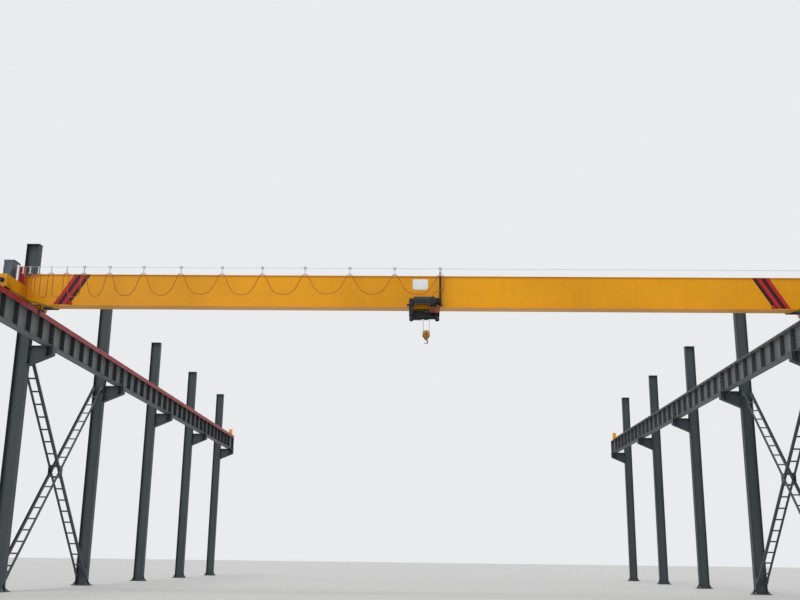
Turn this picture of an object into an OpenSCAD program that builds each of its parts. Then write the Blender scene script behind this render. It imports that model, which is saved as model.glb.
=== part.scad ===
// Single-girder overhead bridge crane with its runway, in millimetres.
// X runs along the bridge, Y along the runway and Z up from the floor.

/* [Hall] */
// Distance between the two rails, centre to centre
span = 22500; // [18000:50:26000]
// Distance from a rail's centre to the column line beside it
column_offset = 750; // [650:10:900]
// Length of one bay of the runway
bay = 7200; // [7100:50:7400]
// Number of bays
bays = 5; // [5:1:6]
// How far the runway runs past its first and last column
overhang = 300; // [280:10:500]
// Height of the rail's top above the floor
rail_top = 8000; // [7600:50:9000]
// Where the bridge stands along the runway, from the runway's middle
bridge_y = -12960; // [-13400:10:-12500]

/* [Columns] */
// Depth of a column across the hall
column_depth = 400; // [360:10:440]
// Width of a column along the runway
column_width = 250; // [220:10:280]
// Thickness of a column's flanges
column_flange_t = 14; // [10:1:20]
// Thickness of a column's web
column_web_t = 10; // [8:1:16]
// Height of a column above its base plate
column_height = 10370; // [10100:10:11400]
// Thickness of a column's base plate
base_plate_t = 30; // [20:1:40]
// How far the base plate stands out past the column across the hall
base_margin_x = 100; // [90:5:130]
// How far the base plate stands out past the column along the runway
base_margin_y = 125; // [100:5:150]
// Distance from an anchor hole to the base plate's edge across the hall
anchor_edge_x = 60; // [50:1:70]
// Distance from an anchor hole to the base plate's edge along the runway
anchor_edge_y = 70; // [50:1:80]
// Diameter of an anchor hole
anchor_hole_d = 28; // [22:1:34]
// Height of the gussets at a column's foot
foot_gusset_h = 220; // [150:10:300]
// Thickness of the plate on top of a column
cap_plate_t = 20; // [12:1:30]

/* [Corbels] */
// Depth of a corbel at the column
corbel_root_h = 600; // [520:10:700]
// Depth of a corbel at its tip
corbel_tip_h = 280; // [220:10:340]
// How far a corbel reaches past the rail's centre
corbel_past_rail = 200; // [170:5:240]
// Thickness of a corbel's flanges
corbel_flange_t = 16; // [12:1:20]
// Thickness of a corbel's web
corbel_web_t = 12; // [8:1:16]

/* [Runway beams] */
// Depth of a runway beam
beam_depth = 700; // [640:10:760]
// Width of a runway beam's flanges
beam_flange_w = 300; // [280:5:320]
// Thickness of a runway beam's flanges
beam_flange_t = 16; // [12:1:22]
// Thickness of a runway beam's web
beam_web_t = 10; // [8:1:14]
// Gap between the beams of two bays
beam_gap = 10; // [6:1:20]
// Panels that the stiffeners make in one bay
beam_panels = 8; // [6:1:9]
// Thickness of a web stiffener
stiffener_t = 10; // [8:1:14]
// Thickness of the plate that closes each end of a beam
beam_end_t = 16; // [12:1:20]
// Width of the tie from the beam's top flange to the column
beam_tie_w = 90; // [60:5:100]
// Thickness of that tie
beam_tie_t = 12; // [8:1:14]

/* [Rails] */
// Height of the rail
rail_h = 134; // [120:1:150]
// Width of the rail's head
rail_head_w = 68; // [60:1:76]
// Height of the rail's head
rail_head_h = 39; // [30:1:45]
// Width of the rail's foot
rail_foot_w = 114; // [100:1:130]
// Thickness of the rail's foot at its edge
rail_foot_t = 10; // [8:1:14]
// Thickness of the rail's web
rail_web_t = 14; // [12:1:18]
// Distance from the end of the runway to the face of its end stop
stop_setback = 350; // [300:10:450]
// Width of an end stop
stop_w = 200; // [160:10:240]
// Thickness of an end stop's plates
stop_t = 20; // [15:1:30]

/* [Bracing] */
// Bay that is braced, counted from the near end
braced_bay = 2; // [2:1:4]
// Leg of a bracing angle
brace_leg = 80; // [60:5:100]
// Thickness of a bracing angle
brace_t = 8; // [6:1:12]
// Distance between two battens along a brace
batten_pitch = 500; // [400:10:700]
// Width of a batten
batten_w = 60; // [40:5:80]
// Length of a gusset plate along the brace
gusset_l = 420; // [360:10:500]
// Thickness of a gusset plate
gusset_t = 10; // [8:1:14]

/* [Conductor rail] */
// Height of one conductor bar
bar_h = 28; // [20:1:32]
// Width of one conductor bar
bar_w = 20; // [14:1:26]
// Distance between two bars
bar_pitch = 40; // [36:1:46]
// Number of bars
bar_count = 4; // [3:1:4]
// Distance from the beam's flange to the bars
bar_standoff = 46; // [36:1:60]
// Thickness of a bar's bracket
bar_bracket_t = 8; // [5:1:10]
// Brackets in one bay
bar_brackets = 4; // [3:1:5]

/* [Girder] */
// Height of the girder's underside above the floor
girder_bottom = 7850; // [7800:5:7900]
// Depth of the girder
girder_depth = 920; // [880:5:980]
// Width of the box between the outer faces of the webs
box_w = 300; // [280:5:320]
// Thickness of a web
web_t = 10; // [8:1:14]
// Width of the top flange
top_flange_w = 360; // [340:5:400]
// Thickness of the top flange
top_flange_t = 14; // [10:1:20]
// Width of the bottom flange, whose lips carry the trolley
bottom_flange_w = 440; // [430:2:450]
// Thickness of the bottom flange
bottom_flange_t = 20; // [16:1:24]
// Length of the sloping end of the girder's underside
end_slope = 705; // [600:5:760]
// Height of the girder's end over the carriage
end_depth = 240; // [200:5:280]
// Length of the sloping end of the girder's top
top_slope = 680; // [500:10:800]
// Width of the sign plate
sign_w = 430; // [300:10:500]
// Height of the sign plate
sign_h = 305; // [200:5:350]
// Radius of the sign plate's lower corners
sign_r = 60; // [20:5:90]
// Distance from the girder's middle to the middle of the sign plate
sign_x = 55; // [0:5:100]
// Thickness of the sign plate
sign_t = 3; // [2:1:5]
// Distance from a rail's centre to the face of the trolley stop on that side
trolley_stop_setback = 1450; // [1400:10:1650]
// Thickness of a trolley stop
trolley_stop_t = 40; // [25:5:60]

/* [End carriages] */
// Length of an end carriage
carriage_l = 3000; // [2800:50:3300]
// Width of an end carriage
carriage_w = 240; // [230:2:260]
// Height of an end carriage's box
carriage_h = 350; // [345:5:380]
// Plate thickness of an end carriage
carriage_t = 12; // [8:1:14]
// Distance from a wheel's axle to the end of the carriage
wheel_setback = 250; // [220:5:350]
// Gap between the rail and the underside of the carriage's box
carriage_clearance = 50; // [40:5:60]
// Radius of a travel wheel on its tread
wheel_r = 160; // [150:2:166]
// How far a travel wheel's flanges stand past the tread
wheel_flange_h = 15; // [10:1:16]
// Thickness of a travel wheel's flange
wheel_flange_t = 18; // [14:1:20]
// Gap between the rail's head and each wheel flange
wheel_side_gap = 6; // [6:1:10]
// Radius of a travel wheel's axle
axle_r = 35; // [30:1:40]
// Radius of a bearing housing
housing_r = 75; // [65:1:85]
// Thickness of a bearing housing
housing_t = 30; // [24:1:36]
// Distance from the far end of the left carriage to the current collector
collector_setback = 800; // [700:10:900]
// Radius of a buffer
buffer_r = 50; // [40:2:60]
// Length of a buffer
buffer_l = 120; // [80:5:140]
// Length of a travel drive's motor
drive_motor_l = 300; // [240:10:340]
// Radius of a travel drive's motor
drive_motor_r = 85; // [70:1:95]
// Length of a travel drive's gearbox along the axle
drive_gear_l = 110; // [90:5:130]

/* [Cabinet] */
// Width of the control cabinet across the hall
cabinet_w = 280; // [240:10:300]
// Length of the control cabinet along the runway
cabinet_l = 450; // [450:10:600]
// Height of the control cabinet
cabinet_h = 680; // [600:10:800]
// Distance from the girder's middle to the cabinet's middle, towards the near side
cabinet_offset = 285; // [285:5:330]
// Gap between the carriage and the cabinet, which its bracket fills
cabinet_gap = 50; // [30:5:60]
// Height of the red junction box
junction_h = 520; // [400:10:600]
// Length of the red junction box along the runway
junction_l = 180; // [140:5:200]
// Gap between the girder's top flange and the junction box
junction_gap = 70; // [50:5:80]

/* [Festoon] */
// Distance from the girder's axis to the festoon wire
festoon_y = -540; // [-560:5:-535]
// Height of the festoon wire above the girder's top
wire_above_girder = 105; // [90:5:130]
// Diameter of the festoon wire
wire_d = 10; // [8:1:12]
// Width of a festoon post
post_w = 60; // [50:5:80]
// Diameter of the festoon cable
cable_d = 20; // [20:1:20]
// Length of a cable saddle
saddle_l = 50; // [40:2:56]
// Height from the wire to the top of a saddle
hanger_drop = 190; // [170:5:210]
// Radius of a carrier's roller
roller_r = 22; // [18:1:26]
// Thickness of a carrier's hanger
hanger_t = 20; // [14:1:22]
// Distance from the right leg of the trolley to the arm that pulls the carriers
tow_offset = 75; // [65:5:90]

/* [Hoist] */
// Distance from the girder's middle to the trolley's middle
trolley_x = 170; // [150:5:190]
// Distance between the trolley's two wheel axles
trolley_wheelbase = 730; // [700:5:760]
// Radius of a trolley wheel on its tread
trolley_wheel_r = 60; // [54:1:66]
// Width of a trolley wheel's tread
trolley_tread_w = 48; // [40:1:50]
// Thickness of a trolley wheel's flange
trolley_flange_t = 12; // [8:1:14]
// How far a trolley wheel's flange stands past its tread
trolley_flange_h = 12; // [8:1:14]
// Radius of a trolley wheel's axle
trolley_axle_r = 20; // [16:1:24]
// Thickness of a trolley side plate
side_plate_t = 20; // [14:1:22]
// Width of a leg of a side plate
leg_w = 120; // [100:5:130]
// Height of a side plate above its wheel axles
plate_above_axle = 170; // [160:5:190]
// Height of a side plate's top bar
top_bar_h = 140; // [120:5:160]
// Depth from a wheel axle down to a cross shaft
cross_shaft_drop = 308; // [290:2:330]
// Radius of a cross shaft
cross_shaft_r = 30; // [24:1:34]
// Length of a trolley bumper
bumper_l = 65; // [50:5:80]
// Radius of a trolley bumper
bumper_r = 25; // [20:1:30]
// Length of the rope drum between its flanges
drum_l = 420; // [400:5:430]
// Radius of the rope drum
drum_r = 100; // [94:1:102]
// Distance from the girder's axis to the drum's axis
drum_y = -390; // [-392:1:-388]
// Radius of the drum's shaft
drum_shaft_r = 25; // [20:1:30]
// Pitch of the rope grooves
groove_pitch = 14; // [13:1:20]
// Thickness of the drum's cover
cover_t = 5; // [3:1:8]
// Length of the hoist gearbox along the drum's axis
gearbox_l = 120; // [100:5:130]
// Length of the hoist motor
hoist_motor_l = 190; // [170:5:200]
// Radius of the hoist motor
hoist_motor_r = 88; // [80:1:92]
// Height of the control box behind the girder
control_box_h = 400; // [340:10:420]
// Depth of the control box behind the girder
control_box_d = 200; // [160:10:240]

/* [Rope and hook] */
// Distance from the trolley's middle to the hook's axis
hook_offset = 55; // [45:5:65]
// Diameter of the rope
rope_d = 12; // [10:1:13]
// Radius of the hook sheave to the middle of the rope
sheave_pitch_r = 85; // [80:1:90]
// Radius of the hook sheave's rim
sheave_rim_r = 95; // [92:1:98]
// Width of the hook sheave
sheave_w = 26; // [24:1:28]
// Height of the hook sheave's axle above the floor
sheave_z = 7140; // [7100:5:7160]
// Thickness of a hook block's cheek
cheek_t = 10; // [8:1:14]
// Width of the hook block
block_w = 206; // [200:2:220]
// Depth from the sheave's axle to the bottom of the crosshead
crosshead_drop = 155; // [145:1:165]
// Height of the crosshead
crosshead_h = 45; // [36:1:50]
// Radius of the hook's shank
shank_r = 16; // [14:1:18]
// Inner radius of the hook
hook_throat_r = 32; // [28:1:36]
// Greatest radius of the hook's round section
hook_bar_r = 15; // [12:1:18]

/* [Hidden] */
$fn = 40;

// Clearances
running_gap = 0.05;
seat_gap = 0.3;
free_gap = 6;

// Runway levels and places
column_lines = span + 2 * column_offset;
runway_half = bays * bay / 2 + overhang;
column_ys = [for (i = [0:bays]) (i - bays / 2) * bay];
column_face = column_lines / 2 - column_depth / 2;
rail_x = span / 2;
beam_top = rail_top - rail_h;
beam_bottom = beam_top - beam_depth;
stop_y = runway_half - stop_setback;
corbel_tip_x = rail_x - corbel_past_rail;
corbel_seat_z = beam_bottom;

// Carriage and wheel levels
wheelbase = carriage_l - 2 * wheel_setback;
cabinet_y = -cabinet_offset;
junction_far_y = -top_flange_w / 2 - junction_gap;
junction_near_y = junction_far_y - junction_l;
gland_y = (festoon_y + post_w / 2 + junction_near_y) / 2;
collector_y = carriage_l / 2 - collector_setback;
wheel_z = rail_top + wheel_r;
carriage_bottom = rail_top + carriage_clearance;
carriage_top = carriage_bottom + carriage_h;
tread_w = rail_head_w + 2 * wheel_side_gap;
buffer_z = (carriage_bottom + carriage_top) / 2;
wheel_well = wheel_r + wheel_flange_h + 25;

// Girder levels
girder_top = girder_bottom + girder_depth;
girder_end_x = rail_x + carriage_w / 2 + 10;
girder_shoulder_x = rail_x - carriage_w / 2 + 15;
notch_x = rail_x - carriage_w / 2 - 15;
shoulder_z = carriage_bottom + 10;
saddle_plate_t = 20;
lip_top = girder_bottom + bottom_flange_t;
trolley_stop_x = rail_x - trolley_stop_setback;

// Festoon places
wire_z = girder_top + wire_above_girder;
saddle_top = wire_z - hanger_drop;
cable_seat_z = saddle_top + seat_gap + cable_d / 2;
post_x = rail_x;
seat_end = saddle_l / 2 + cable_d / 2 + 2;
clamp_setbacks = [140, 340, 580, 940, 1380];
clamp_xs = [for (d = clamp_setbacks) d - post_x];
last_clamp_x = clamp_xs[len(clamp_xs) - 1];

// Trolley places
axle_dx = trolley_wheelbase / 2;
axle_z = lip_top + seat_gap + trolley_wheel_r;
wheel_inner_y = bottom_flange_w / 2 + free_gap;
plate_inner_y = wheel_inner_y + trolley_flange_t + 7;
plate_outer_y = plate_inner_y + side_plate_t;
plate_top_z = axle_z + plate_above_axle;
cross_shaft_z = axle_z - cross_shaft_drop;
plate_bottom_z = cross_shaft_z - cross_shaft_r - 30;
left_leg_x = trolley_x - axle_dx;
right_leg_x = trolley_x + axle_dx;
drum_z = axle_z + 56;
drum_left_x = left_leg_x + leg_w / 2 + 30;
drum_flange_t = 8;
bearing_t = 10;
cover_left_x = drum_left_x - drum_flange_t - 2 - bearing_t;
cover_right_x = drum_left_x + drum_l + drum_flange_t + 2 + bearing_t;
gearbox_right_x = cover_right_x + gearbox_l;
tow_x = right_leg_x + tow_offset;
carrier_shares = [49, 121, 217, 322, 438, 551, 671, 796, 921, 1048];
full_share = carrier_shares[len(carrier_shares) - 1];
carrier_xs = [for (s = carrier_shares) last_clamp_x + s / full_share * (tow_x - last_clamp_x)];
hook_x = trolley_x + hook_offset;
head_top_z = girder_bottom - 44;
head_step_z = head_top_z - 166;
crosshead_z = sheave_z - crosshead_drop;
block_top_z = sheave_z + sheave_rim_r + free_gap;
cheek_y = sheave_w / 2 + free_gap;

// Colours
steel_grey = [0.24, 0.28, 0.31];
beam_grey = [0.33, 0.33, 0.35];
rail_steel = [0.36, 0.32, 0.30];
crane_yellow = [0.86, 0.62, 0.05];
signal_red = [0.67, 0.16, 0.18];
charcoal = [0.14, 0.15, 0.18];
motor_blue = [0.36, 0.43, 0.50];
zinc = [0.72, 0.73, 0.74];
gear_brown = [0.45, 0.22, 0.14];
cable_orange = [0.60, 0.30, 0.14];
rubber_black = [0.06, 0.06, 0.06];
plate_white = [0.86, 0.87, 0.87];

// One profile drawn in the XZ plane and given a thickness along Y, centred on y
module upright(y, thickness) {
  translate([0, y + thickness / 2, 0]) rotate([90, 0, 0]) linear_extrude(thickness) children();
}

// One profile drawn in the XY plane and laid along Y from one end to the other
module along_y(from_y, to_y) {
  translate([0, to_y, 0]) rotate([90, 0, 0]) linear_extrude(to_y - from_y) children();
}

// A box given by its lowest and highest corners
module span_box(low, high) {
  translate(low) cube(high - low);
}

// A cylinder along X, from one x to another
module rod_x(from_x, to_x, r) {
  rotate([0, 90, 0]) translate([0, 0, from_x]) cylinder(h = to_x - from_x, r = r);
}

// A cylinder along Y, from one y to another
module rod_y(from_y, to_y, r) {
  rotate([-90, 0, 0]) translate([0, 0, from_y]) cylinder(h = to_y - from_y, r = r);
}

// The other side of the hall
module side(sign) {
  if (sign > 0) children(); else mirror([1, 0, 0]) children();
}

// Columns: H sections on base plates, with gussets at the foot and a cap plate
module column_profile() {
  flange_x = column_depth / 2 - column_flange_t;
  for (s = [-1, 1])
    translate([s > 0 ? flange_x : -column_depth / 2, -column_width / 2])
      square([column_flange_t, column_width]);
  translate([-flange_x, -column_web_t / 2]) square([2 * flange_x, column_web_t]);
}

module foot_gusset() {
  reach = base_margin_x - 10;
  upright(0, column_web_t)
    polygon([
      [column_depth / 2, base_plate_t], [column_depth / 2 + reach, base_plate_t],
      [column_depth / 2 + reach, base_plate_t + 30], [column_depth / 2, base_plate_t + foot_gusset_h]
    ]);
}

module column() {
  base_x = column_depth / 2 + base_margin_x;
  base_y = column_width / 2 + base_margin_y;
  cap_over = 10;
  difference() {
    span_box([-base_x, -base_y, 0], [base_x, base_y, base_plate_t]);
    for (x = [-1, 1], y = [-1, 1])
      translate([x * (base_x - anchor_edge_x), y * (base_y - anchor_edge_y), -1])
        cylinder(h = base_plate_t + 2, d = anchor_hole_d);
  }
  translate([0, 0, base_plate_t]) linear_extrude(column_height - base_plate_t) column_profile();
  for (a = [0, 180]) rotate([0, 0, a]) foot_gusset();
  translate([-column_depth / 2 - cap_over, -column_width / 2 - cap_over, column_height])
    cube([column_depth + 2 * cap_over, column_width + 2 * cap_over, cap_plate_t]);
}

module columns(sign) {
  color(steel_grey)
    for (y = column_ys) translate([sign * column_lines / 2, y, 0]) column();
}

module columns_left() { columns(-1); }
module columns_right() { columns(1); }

// Corbels: tapered brackets on the columns' inner flanges that carry the runway beams
module corbel() {
  top = corbel_seat_z;
  t = corbel_flange_t;
  root = top - corbel_root_h;
  tip = top - corbel_tip_h;
  upright(0, column_width) polygon([[corbel_tip_x, top - t], [column_face, top - t],
    [column_face, top], [corbel_tip_x, top]]);
  upright(0, column_width) polygon([[corbel_tip_x, tip], [column_face, root],
    [column_face, root + t], [corbel_tip_x, tip + t]]);
  upright(0, corbel_web_t) polygon([[corbel_tip_x, tip + t / 2], [column_face, root + t / 2],
    [column_face, top - t / 2], [corbel_tip_x, top - t / 2]]);
  span_box([corbel_tip_x, -column_width / 2, tip + t / 2], [corbel_tip_x + t, column_width / 2, top - t / 2]);
  upright(0, column_width) polygon([[rail_x - t / 2, top - t / 2], [rail_x + t / 2, top - t / 2],
    [rail_x + t / 2, corbel_under(rail_x + t / 2) + t / 2], [rail_x - t / 2, corbel_under(rail_x - t / 2) + t / 2]]);
}

// Height of a corbel's sloping underside at a distance x from the hall's middle
function corbel_under(x) =
  corbel_seat_z - corbel_tip_h
  - (x - corbel_tip_x) / (column_face - corbel_tip_x) * (corbel_root_h - corbel_tip_h);

module corbels(sign) {
  color(steel_grey) side(sign) for (y = column_ys) translate([0, y, 0]) corbel();
}

module corbels_left() { corbels(-1); }
module corbels_right() { corbels(1); }

// Runway beams: one welded I beam a bay, stiffened, closed at its ends and tied to a column
module beam_profile() {
  translate([-beam_flange_w / 2, 0]) square([beam_flange_w, beam_flange_t]);
  translate([-beam_flange_w / 2, beam_depth - beam_flange_t]) square([beam_flange_w, beam_flange_t]);
  translate([-beam_web_t / 2, 0]) square([beam_web_t, beam_depth]);
}

module beam_plate(y, thickness) {
  translate([-beam_flange_w / 2, y, beam_flange_t / 2])
    cube([beam_flange_w, thickness, beam_depth - beam_flange_t]);
}

module runway_beam(first, last) {
  from_y = first ? -bay / 2 - overhang : -bay / 2 + beam_gap / 2;
  to_y = last ? bay / 2 + overhang : bay / 2 - beam_gap / 2;
  tie_z = beam_depth - beam_flange_t / 2 - beam_tie_t / 2;
  tie_y = -bay / 2 + beam_gap / 2 + 10;
  along_y(from_y, to_y) beam_profile();
  beam_plate(from_y, beam_end_t);
  beam_plate(to_y - beam_end_t, beam_end_t);
  for (i = [1:beam_panels - 1]) beam_plate(-bay / 2 + i * bay / beam_panels - stiffener_t / 2, stiffener_t);
  for (m = last ? [0, 1] : [0])
    mirror([0, m, 0])
      translate([beam_flange_w / 2 - beam_flange_t, tie_y, tie_z])
        cube([column_face - rail_x - beam_flange_w / 2 + beam_flange_t, beam_tie_w, beam_tie_t]);
}

module runway_beams(sign) {
  color(beam_grey) side(sign)
    for (i = [0:bays - 1])
      translate([rail_x, (column_ys[i] + column_ys[i + 1]) / 2, beam_bottom])
        runway_beam(i == 0, i == bays - 1);
}

module runway_beam_left() { runway_beams(-1); }
module runway_beam_right() { runway_beams(1); }

// Rails, whole over the length between the end stops
module rail_profile() {
  head_r = 6;
  difference() {
    union() {
      translate([-rail_head_w / 2, rail_h - rail_head_h]) square([rail_head_w, rail_head_h]);
      polygon([
        [-rail_foot_w / 2, 0], [rail_foot_w / 2, 0], [rail_foot_w / 2, rail_foot_t],
        [rail_web_t / 2, rail_foot_t + 18], [rail_web_t / 2, rail_h - rail_head_h - 10],
        [rail_head_w / 2, rail_h - rail_head_h], [-rail_head_w / 2, rail_h - rail_head_h],
        [-rail_web_t / 2, rail_h - rail_head_h - 10], [-rail_web_t / 2, rail_foot_t + 18],
        [-rail_foot_w / 2, rail_foot_t]
      ]);
    }
    for (m = [0, 1]) mirror([m, 0])
      translate([rail_head_w / 2 - head_r, rail_h - head_r]) difference() {
        square(head_r + 1);
        circle(head_r, $fn = 16);
      }
  }
}

module rails(sign) {
  color(rail_steel) translate([sign * rail_x, 0, beam_top])
    along_y(-stop_y, stop_y) rail_profile();
}

module rail_left() { rails(-1); }
module rail_right() { rails(1); }

// End stops: a buffer plate with two raking gussets at each end of each rail
module end_stop() {
  top = buffer_z + buffer_r + 40;
  depth = stop_setback - 40;
  base_t = 15;
  span_box([-stop_w / 2, stop_y, beam_top], [stop_w / 2, stop_y + depth, beam_top + base_t]);
  span_box([-stop_w / 2, stop_y, beam_top + base_t], [stop_w / 2, stop_y + stop_t, top]);
  for (x = [-1, 1])
    translate([x * stop_w / 4 - stop_t / 2, 0, 0]) rotate([90, 0, 90]) linear_extrude(stop_t)
      polygon([
        [stop_y + stop_t, beam_top + base_t], [stop_y + depth, beam_top + base_t],
        [stop_y + depth, beam_top + base_t + 60], [stop_y + stop_t, top - 30]
      ]);
}

module runway_end_stops() {
  color(crane_yellow)
    for (s = [-1, 1], m = [0, 1])
      translate([s * rail_x, 0, 0]) mirror([0, m, 0]) end_stop();
}

// Bracing: two crossed lattice diagonals in one bay, each of four angles' width between flanges
module bracing(sign) {
  near_y = column_ys[braced_bay - 1];
  far_y = column_ys[braced_bay];
  gusset_outer = column_depth / 2 - column_flange_t;
  chord_outer = gusset_outer - gusset_t;
  low_z = 350;
  high_z = beam_bottom - 60;
  run = bay - column_width - 2 * brace_gap;
  rise = high_z - low_z;
  length = sqrt(run * run + rise * rise);
  tilt = atan2(rise, run);
  count = floor((length - 2 * gusset_l) / batten_pitch);
  color(steel_grey)
    translate([sign * column_lines / 2, (near_y + far_y) / 2, (low_z + high_z) / 2])
      for (turn = [-1, 1])
        rotate([turn * tilt, 0, 0]) {
          for (m = [0, 1]) mirror([m, 0, 0]) {
            span_box([chord_outer - brace_t, -length / 2, -brace_leg / 2],
              [chord_outer, length / 2, brace_leg / 2]);
            span_box([chord_outer - brace_leg, -length / 2, -brace_leg / 2],
              [chord_outer, length / 2, brace_t - brace_leg / 2]);
            brace_gussets(turn, tilt, length, chord_outer);
          }
          for (i = [-count / 2:count / 2])
            span_box([-chord_outer, i * batten_pitch - batten_w / 2, -brace_leg / 2],
              [chord_outer, i * batten_pitch + batten_w / 2, brace_t - brace_leg / 2]);
        }
}

// Gap between a diagonal's end and the column's flanges
brace_gap = 40;

// Gusset plates at both ends of a diagonal, cut square to the column they lie in
module brace_gussets(turn, tilt, length, chord_outer) {
  root = column_width / 2 + brace_gap - column_web_t / 2 - seat_gap;
  for (end = [-1, 1])
    translate([chord_outer, end * length / 2, 0]) rotate([-turn * tilt, 0, 0])
      rotate([90, 0, 90]) linear_extrude(gusset_t)
        polygon([
          [end * root, turn * end * gusset_l / 2], [end * root, -turn * end * gusset_l / 2],
          [-end * gusset_l / 2, -turn * end * (gusset_l + brace_leg) / 2],
          [-end * gusset_l / 2, -turn * end * (gusset_l - brace_leg) / 2]
        ]);
}

module bracing_left() { bracing(-1); }
module bracing_right() { bracing(1); }

// Conductor rail: insulated bars on brackets at the left beam's inner edge
bar_x = -(rail_x - beam_flange_w / 2 - bar_standoff);
bar_mid_z = beam_top - 6;
bar_zs = [for (i = [0:bar_count - 1]) bar_mid_z + (i - (bar_count - 1) / 2) * bar_pitch];

module conductor_rail() {
  low = bar_zs[0] - bar_h / 2 - 8;
  high = bar_zs[bar_count - 1] + bar_h / 2 + 8;
  edge_x = -(rail_x - beam_flange_w / 2);
  pitch = bay / bar_brackets;
  color(signal_red)
    for (z = bar_zs)
      span_box([bar_x, -stop_y, z - bar_h / 2], [bar_x + bar_w, stop_y, z + bar_h / 2]);
  color(zinc)
    for (i = [0:bays * bar_brackets - 1])
      translate([0, -bays * bay / 2 + (i + 0.5) * pitch, 0]) {
        span_box([bar_x - bar_bracket_t, -20, low], [bar_x, 20, high]);
        span_box([edge_x, -20, beam_top - beam_flange_t], [bar_x, 20, beam_top]);
      }
}

// Girder: a closed box with wide lips below, sloping ends and a saddle over each carriage
girder_outline = [
  [-girder_end_x, carriage_top + saddle_plate_t], [-girder_end_x, carriage_top + end_depth],
  [-girder_end_x + top_slope, girder_top - top_flange_t],
  [girder_end_x - top_slope, girder_top - top_flange_t],
  [girder_end_x, carriage_top + end_depth], [girder_end_x, carriage_top + saddle_plate_t],
  [notch_x, carriage_top + saddle_plate_t], [notch_x, shoulder_z],
  [notch_x - end_slope, lip_top], [-notch_x + end_slope, lip_top],
  [-notch_x, shoulder_z], [-notch_x, carriage_top + saddle_plate_t]
];

module girder() {
  top_t = top_flange_t;
  end_top = carriage_top + end_depth;
  plate_t = 16;
  weld_land = 15;
  color(crane_yellow) translate([0, bridge_y, 0]) {
    for (m = [0, 1]) mirror([0, m, 0])
      upright(box_w / 2 - web_t / 2, web_t) polygon(girder_outline);
    upright(0, top_flange_w)
      polygon([
        [-girder_end_x, end_top], [-girder_end_x + top_slope, girder_top - top_t],
        [girder_end_x - top_slope, girder_top - top_t], [girder_end_x, end_top],
        [girder_end_x, end_top + top_t], [girder_end_x - top_slope, girder_top],
        [-girder_end_x + top_slope, girder_top], [-girder_end_x, end_top + top_t]
      ]);
    span_box([-notch_x + end_slope, -bottom_flange_w / 2, girder_bottom],
      [notch_x - end_slope, bottom_flange_w / 2, lip_top]);
    for (m = [0, 1]) mirror([m, 0, 0]) {
      upright(0, box_w + 2 * weld_land)
        polygon([
          [notch_x - end_slope, girder_bottom], [notch_x, shoulder_z - bottom_flange_t],
          [notch_x, shoulder_z], [notch_x - end_slope, lip_top]
        ]);
      span_box([notch_x - plate_t, -box_w / 2 - weld_land, shoulder_z - bottom_flange_t],
        [notch_x, box_w / 2 + weld_land, carriage_top + saddle_plate_t]);
      span_box([notch_x - plate_t, -top_flange_w / 2, carriage_top],
        [girder_end_x, top_flange_w / 2, carriage_top + saddle_plate_t]);
      span_box([girder_end_x - plate_t, -box_w / 2 - weld_land, carriage_top],
        [girder_end_x, box_w / 2 + weld_land, end_top + top_t / 2]);
    }
  }
}

module sign_plate() {
  mid_z = girder_top - 87 - sign_h / 2;
  color(plate_white) translate([sign_x, bridge_y - box_w / 2 - sign_t / 2, mid_z])
    upright(0, sign_t) {
      translate([-sign_w / 2, sign_r - sign_h / 2]) square([sign_w, sign_h - sign_r]);
      translate([sign_r - sign_w / 2, -sign_h / 2]) square([sign_w - 2 * sign_r, sign_r]);
      for (s = [-1, 1])
        translate([s * (sign_w / 2 - sign_r), sign_r - sign_h / 2]) circle(sign_r);
    }
}

module trolley_stops() {
  color(signal_red) translate([0, bridge_y, 0])
    for (mx = [0, 1], my = [0, 1]) mirror([mx, 0, 0]) mirror([0, my, 0]) {
      span_box([trolley_stop_x, box_w / 2, lip_top],
        [trolley_stop_x + trolley_stop_t, plate_outer_y + 20, lip_top + 90]);
      span_box([trolley_stop_x + trolley_stop_t, box_w / 2, lip_top],
        [trolley_stop_x + 2 * trolley_stop_t, bottom_flange_w / 2, lip_top + 40]);
    }
}

// End carriages: plate boxes with a well for each wheel and a bearing housing on each side of it
module end_carriage(sign) {
  half_l = carriage_l / 2;
  half_w = carriage_w / 2;
  well_inner = wheelbase / 2 - wheel_well;
  color(crane_yellow) translate([sign * rail_x, bridge_y, 0]) {
    difference() {
      union() {
        for (m = [0, 1]) mirror([m, 0, 0]) {
          span_box([half_w - carriage_t, -half_l, carriage_bottom], [half_w, half_l, carriage_top]);
          for (s = [-1, 1])
            translate([0, s * wheelbase / 2, wheel_z]) rod_x(half_w, half_w + housing_t, housing_r);
        }
      }
      for (s = [-1, 1])
        translate([0, s * wheelbase / 2, wheel_z])
          rod_x(-half_w - housing_t + 10, half_w + housing_t - 10, axle_r + running_gap);
    }
    span_box([-half_w + carriage_t, -half_l, carriage_top - carriage_t],
      [half_w - carriage_t, half_l, carriage_top]);
    span_box([-half_w + carriage_t, -well_inner, carriage_bottom],
      [half_w - carriage_t, well_inner, carriage_bottom + carriage_t]);
    for (m = [0, 1]) mirror([0, m, 0]) {
      span_box([-half_w + carriage_t, well_inner - carriage_t, carriage_bottom + carriage_t],
        [half_w - carriage_t, well_inner, carriage_top - carriage_t]);
      span_box([-half_w + carriage_t, half_l - carriage_t, carriage_bottom],
        [half_w - carriage_t, half_l, carriage_top - carriage_t]);
    }
  }
}

module end_carriage_left() { end_carriage(-1); }
module end_carriage_right() { end_carriage(1); }

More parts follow.
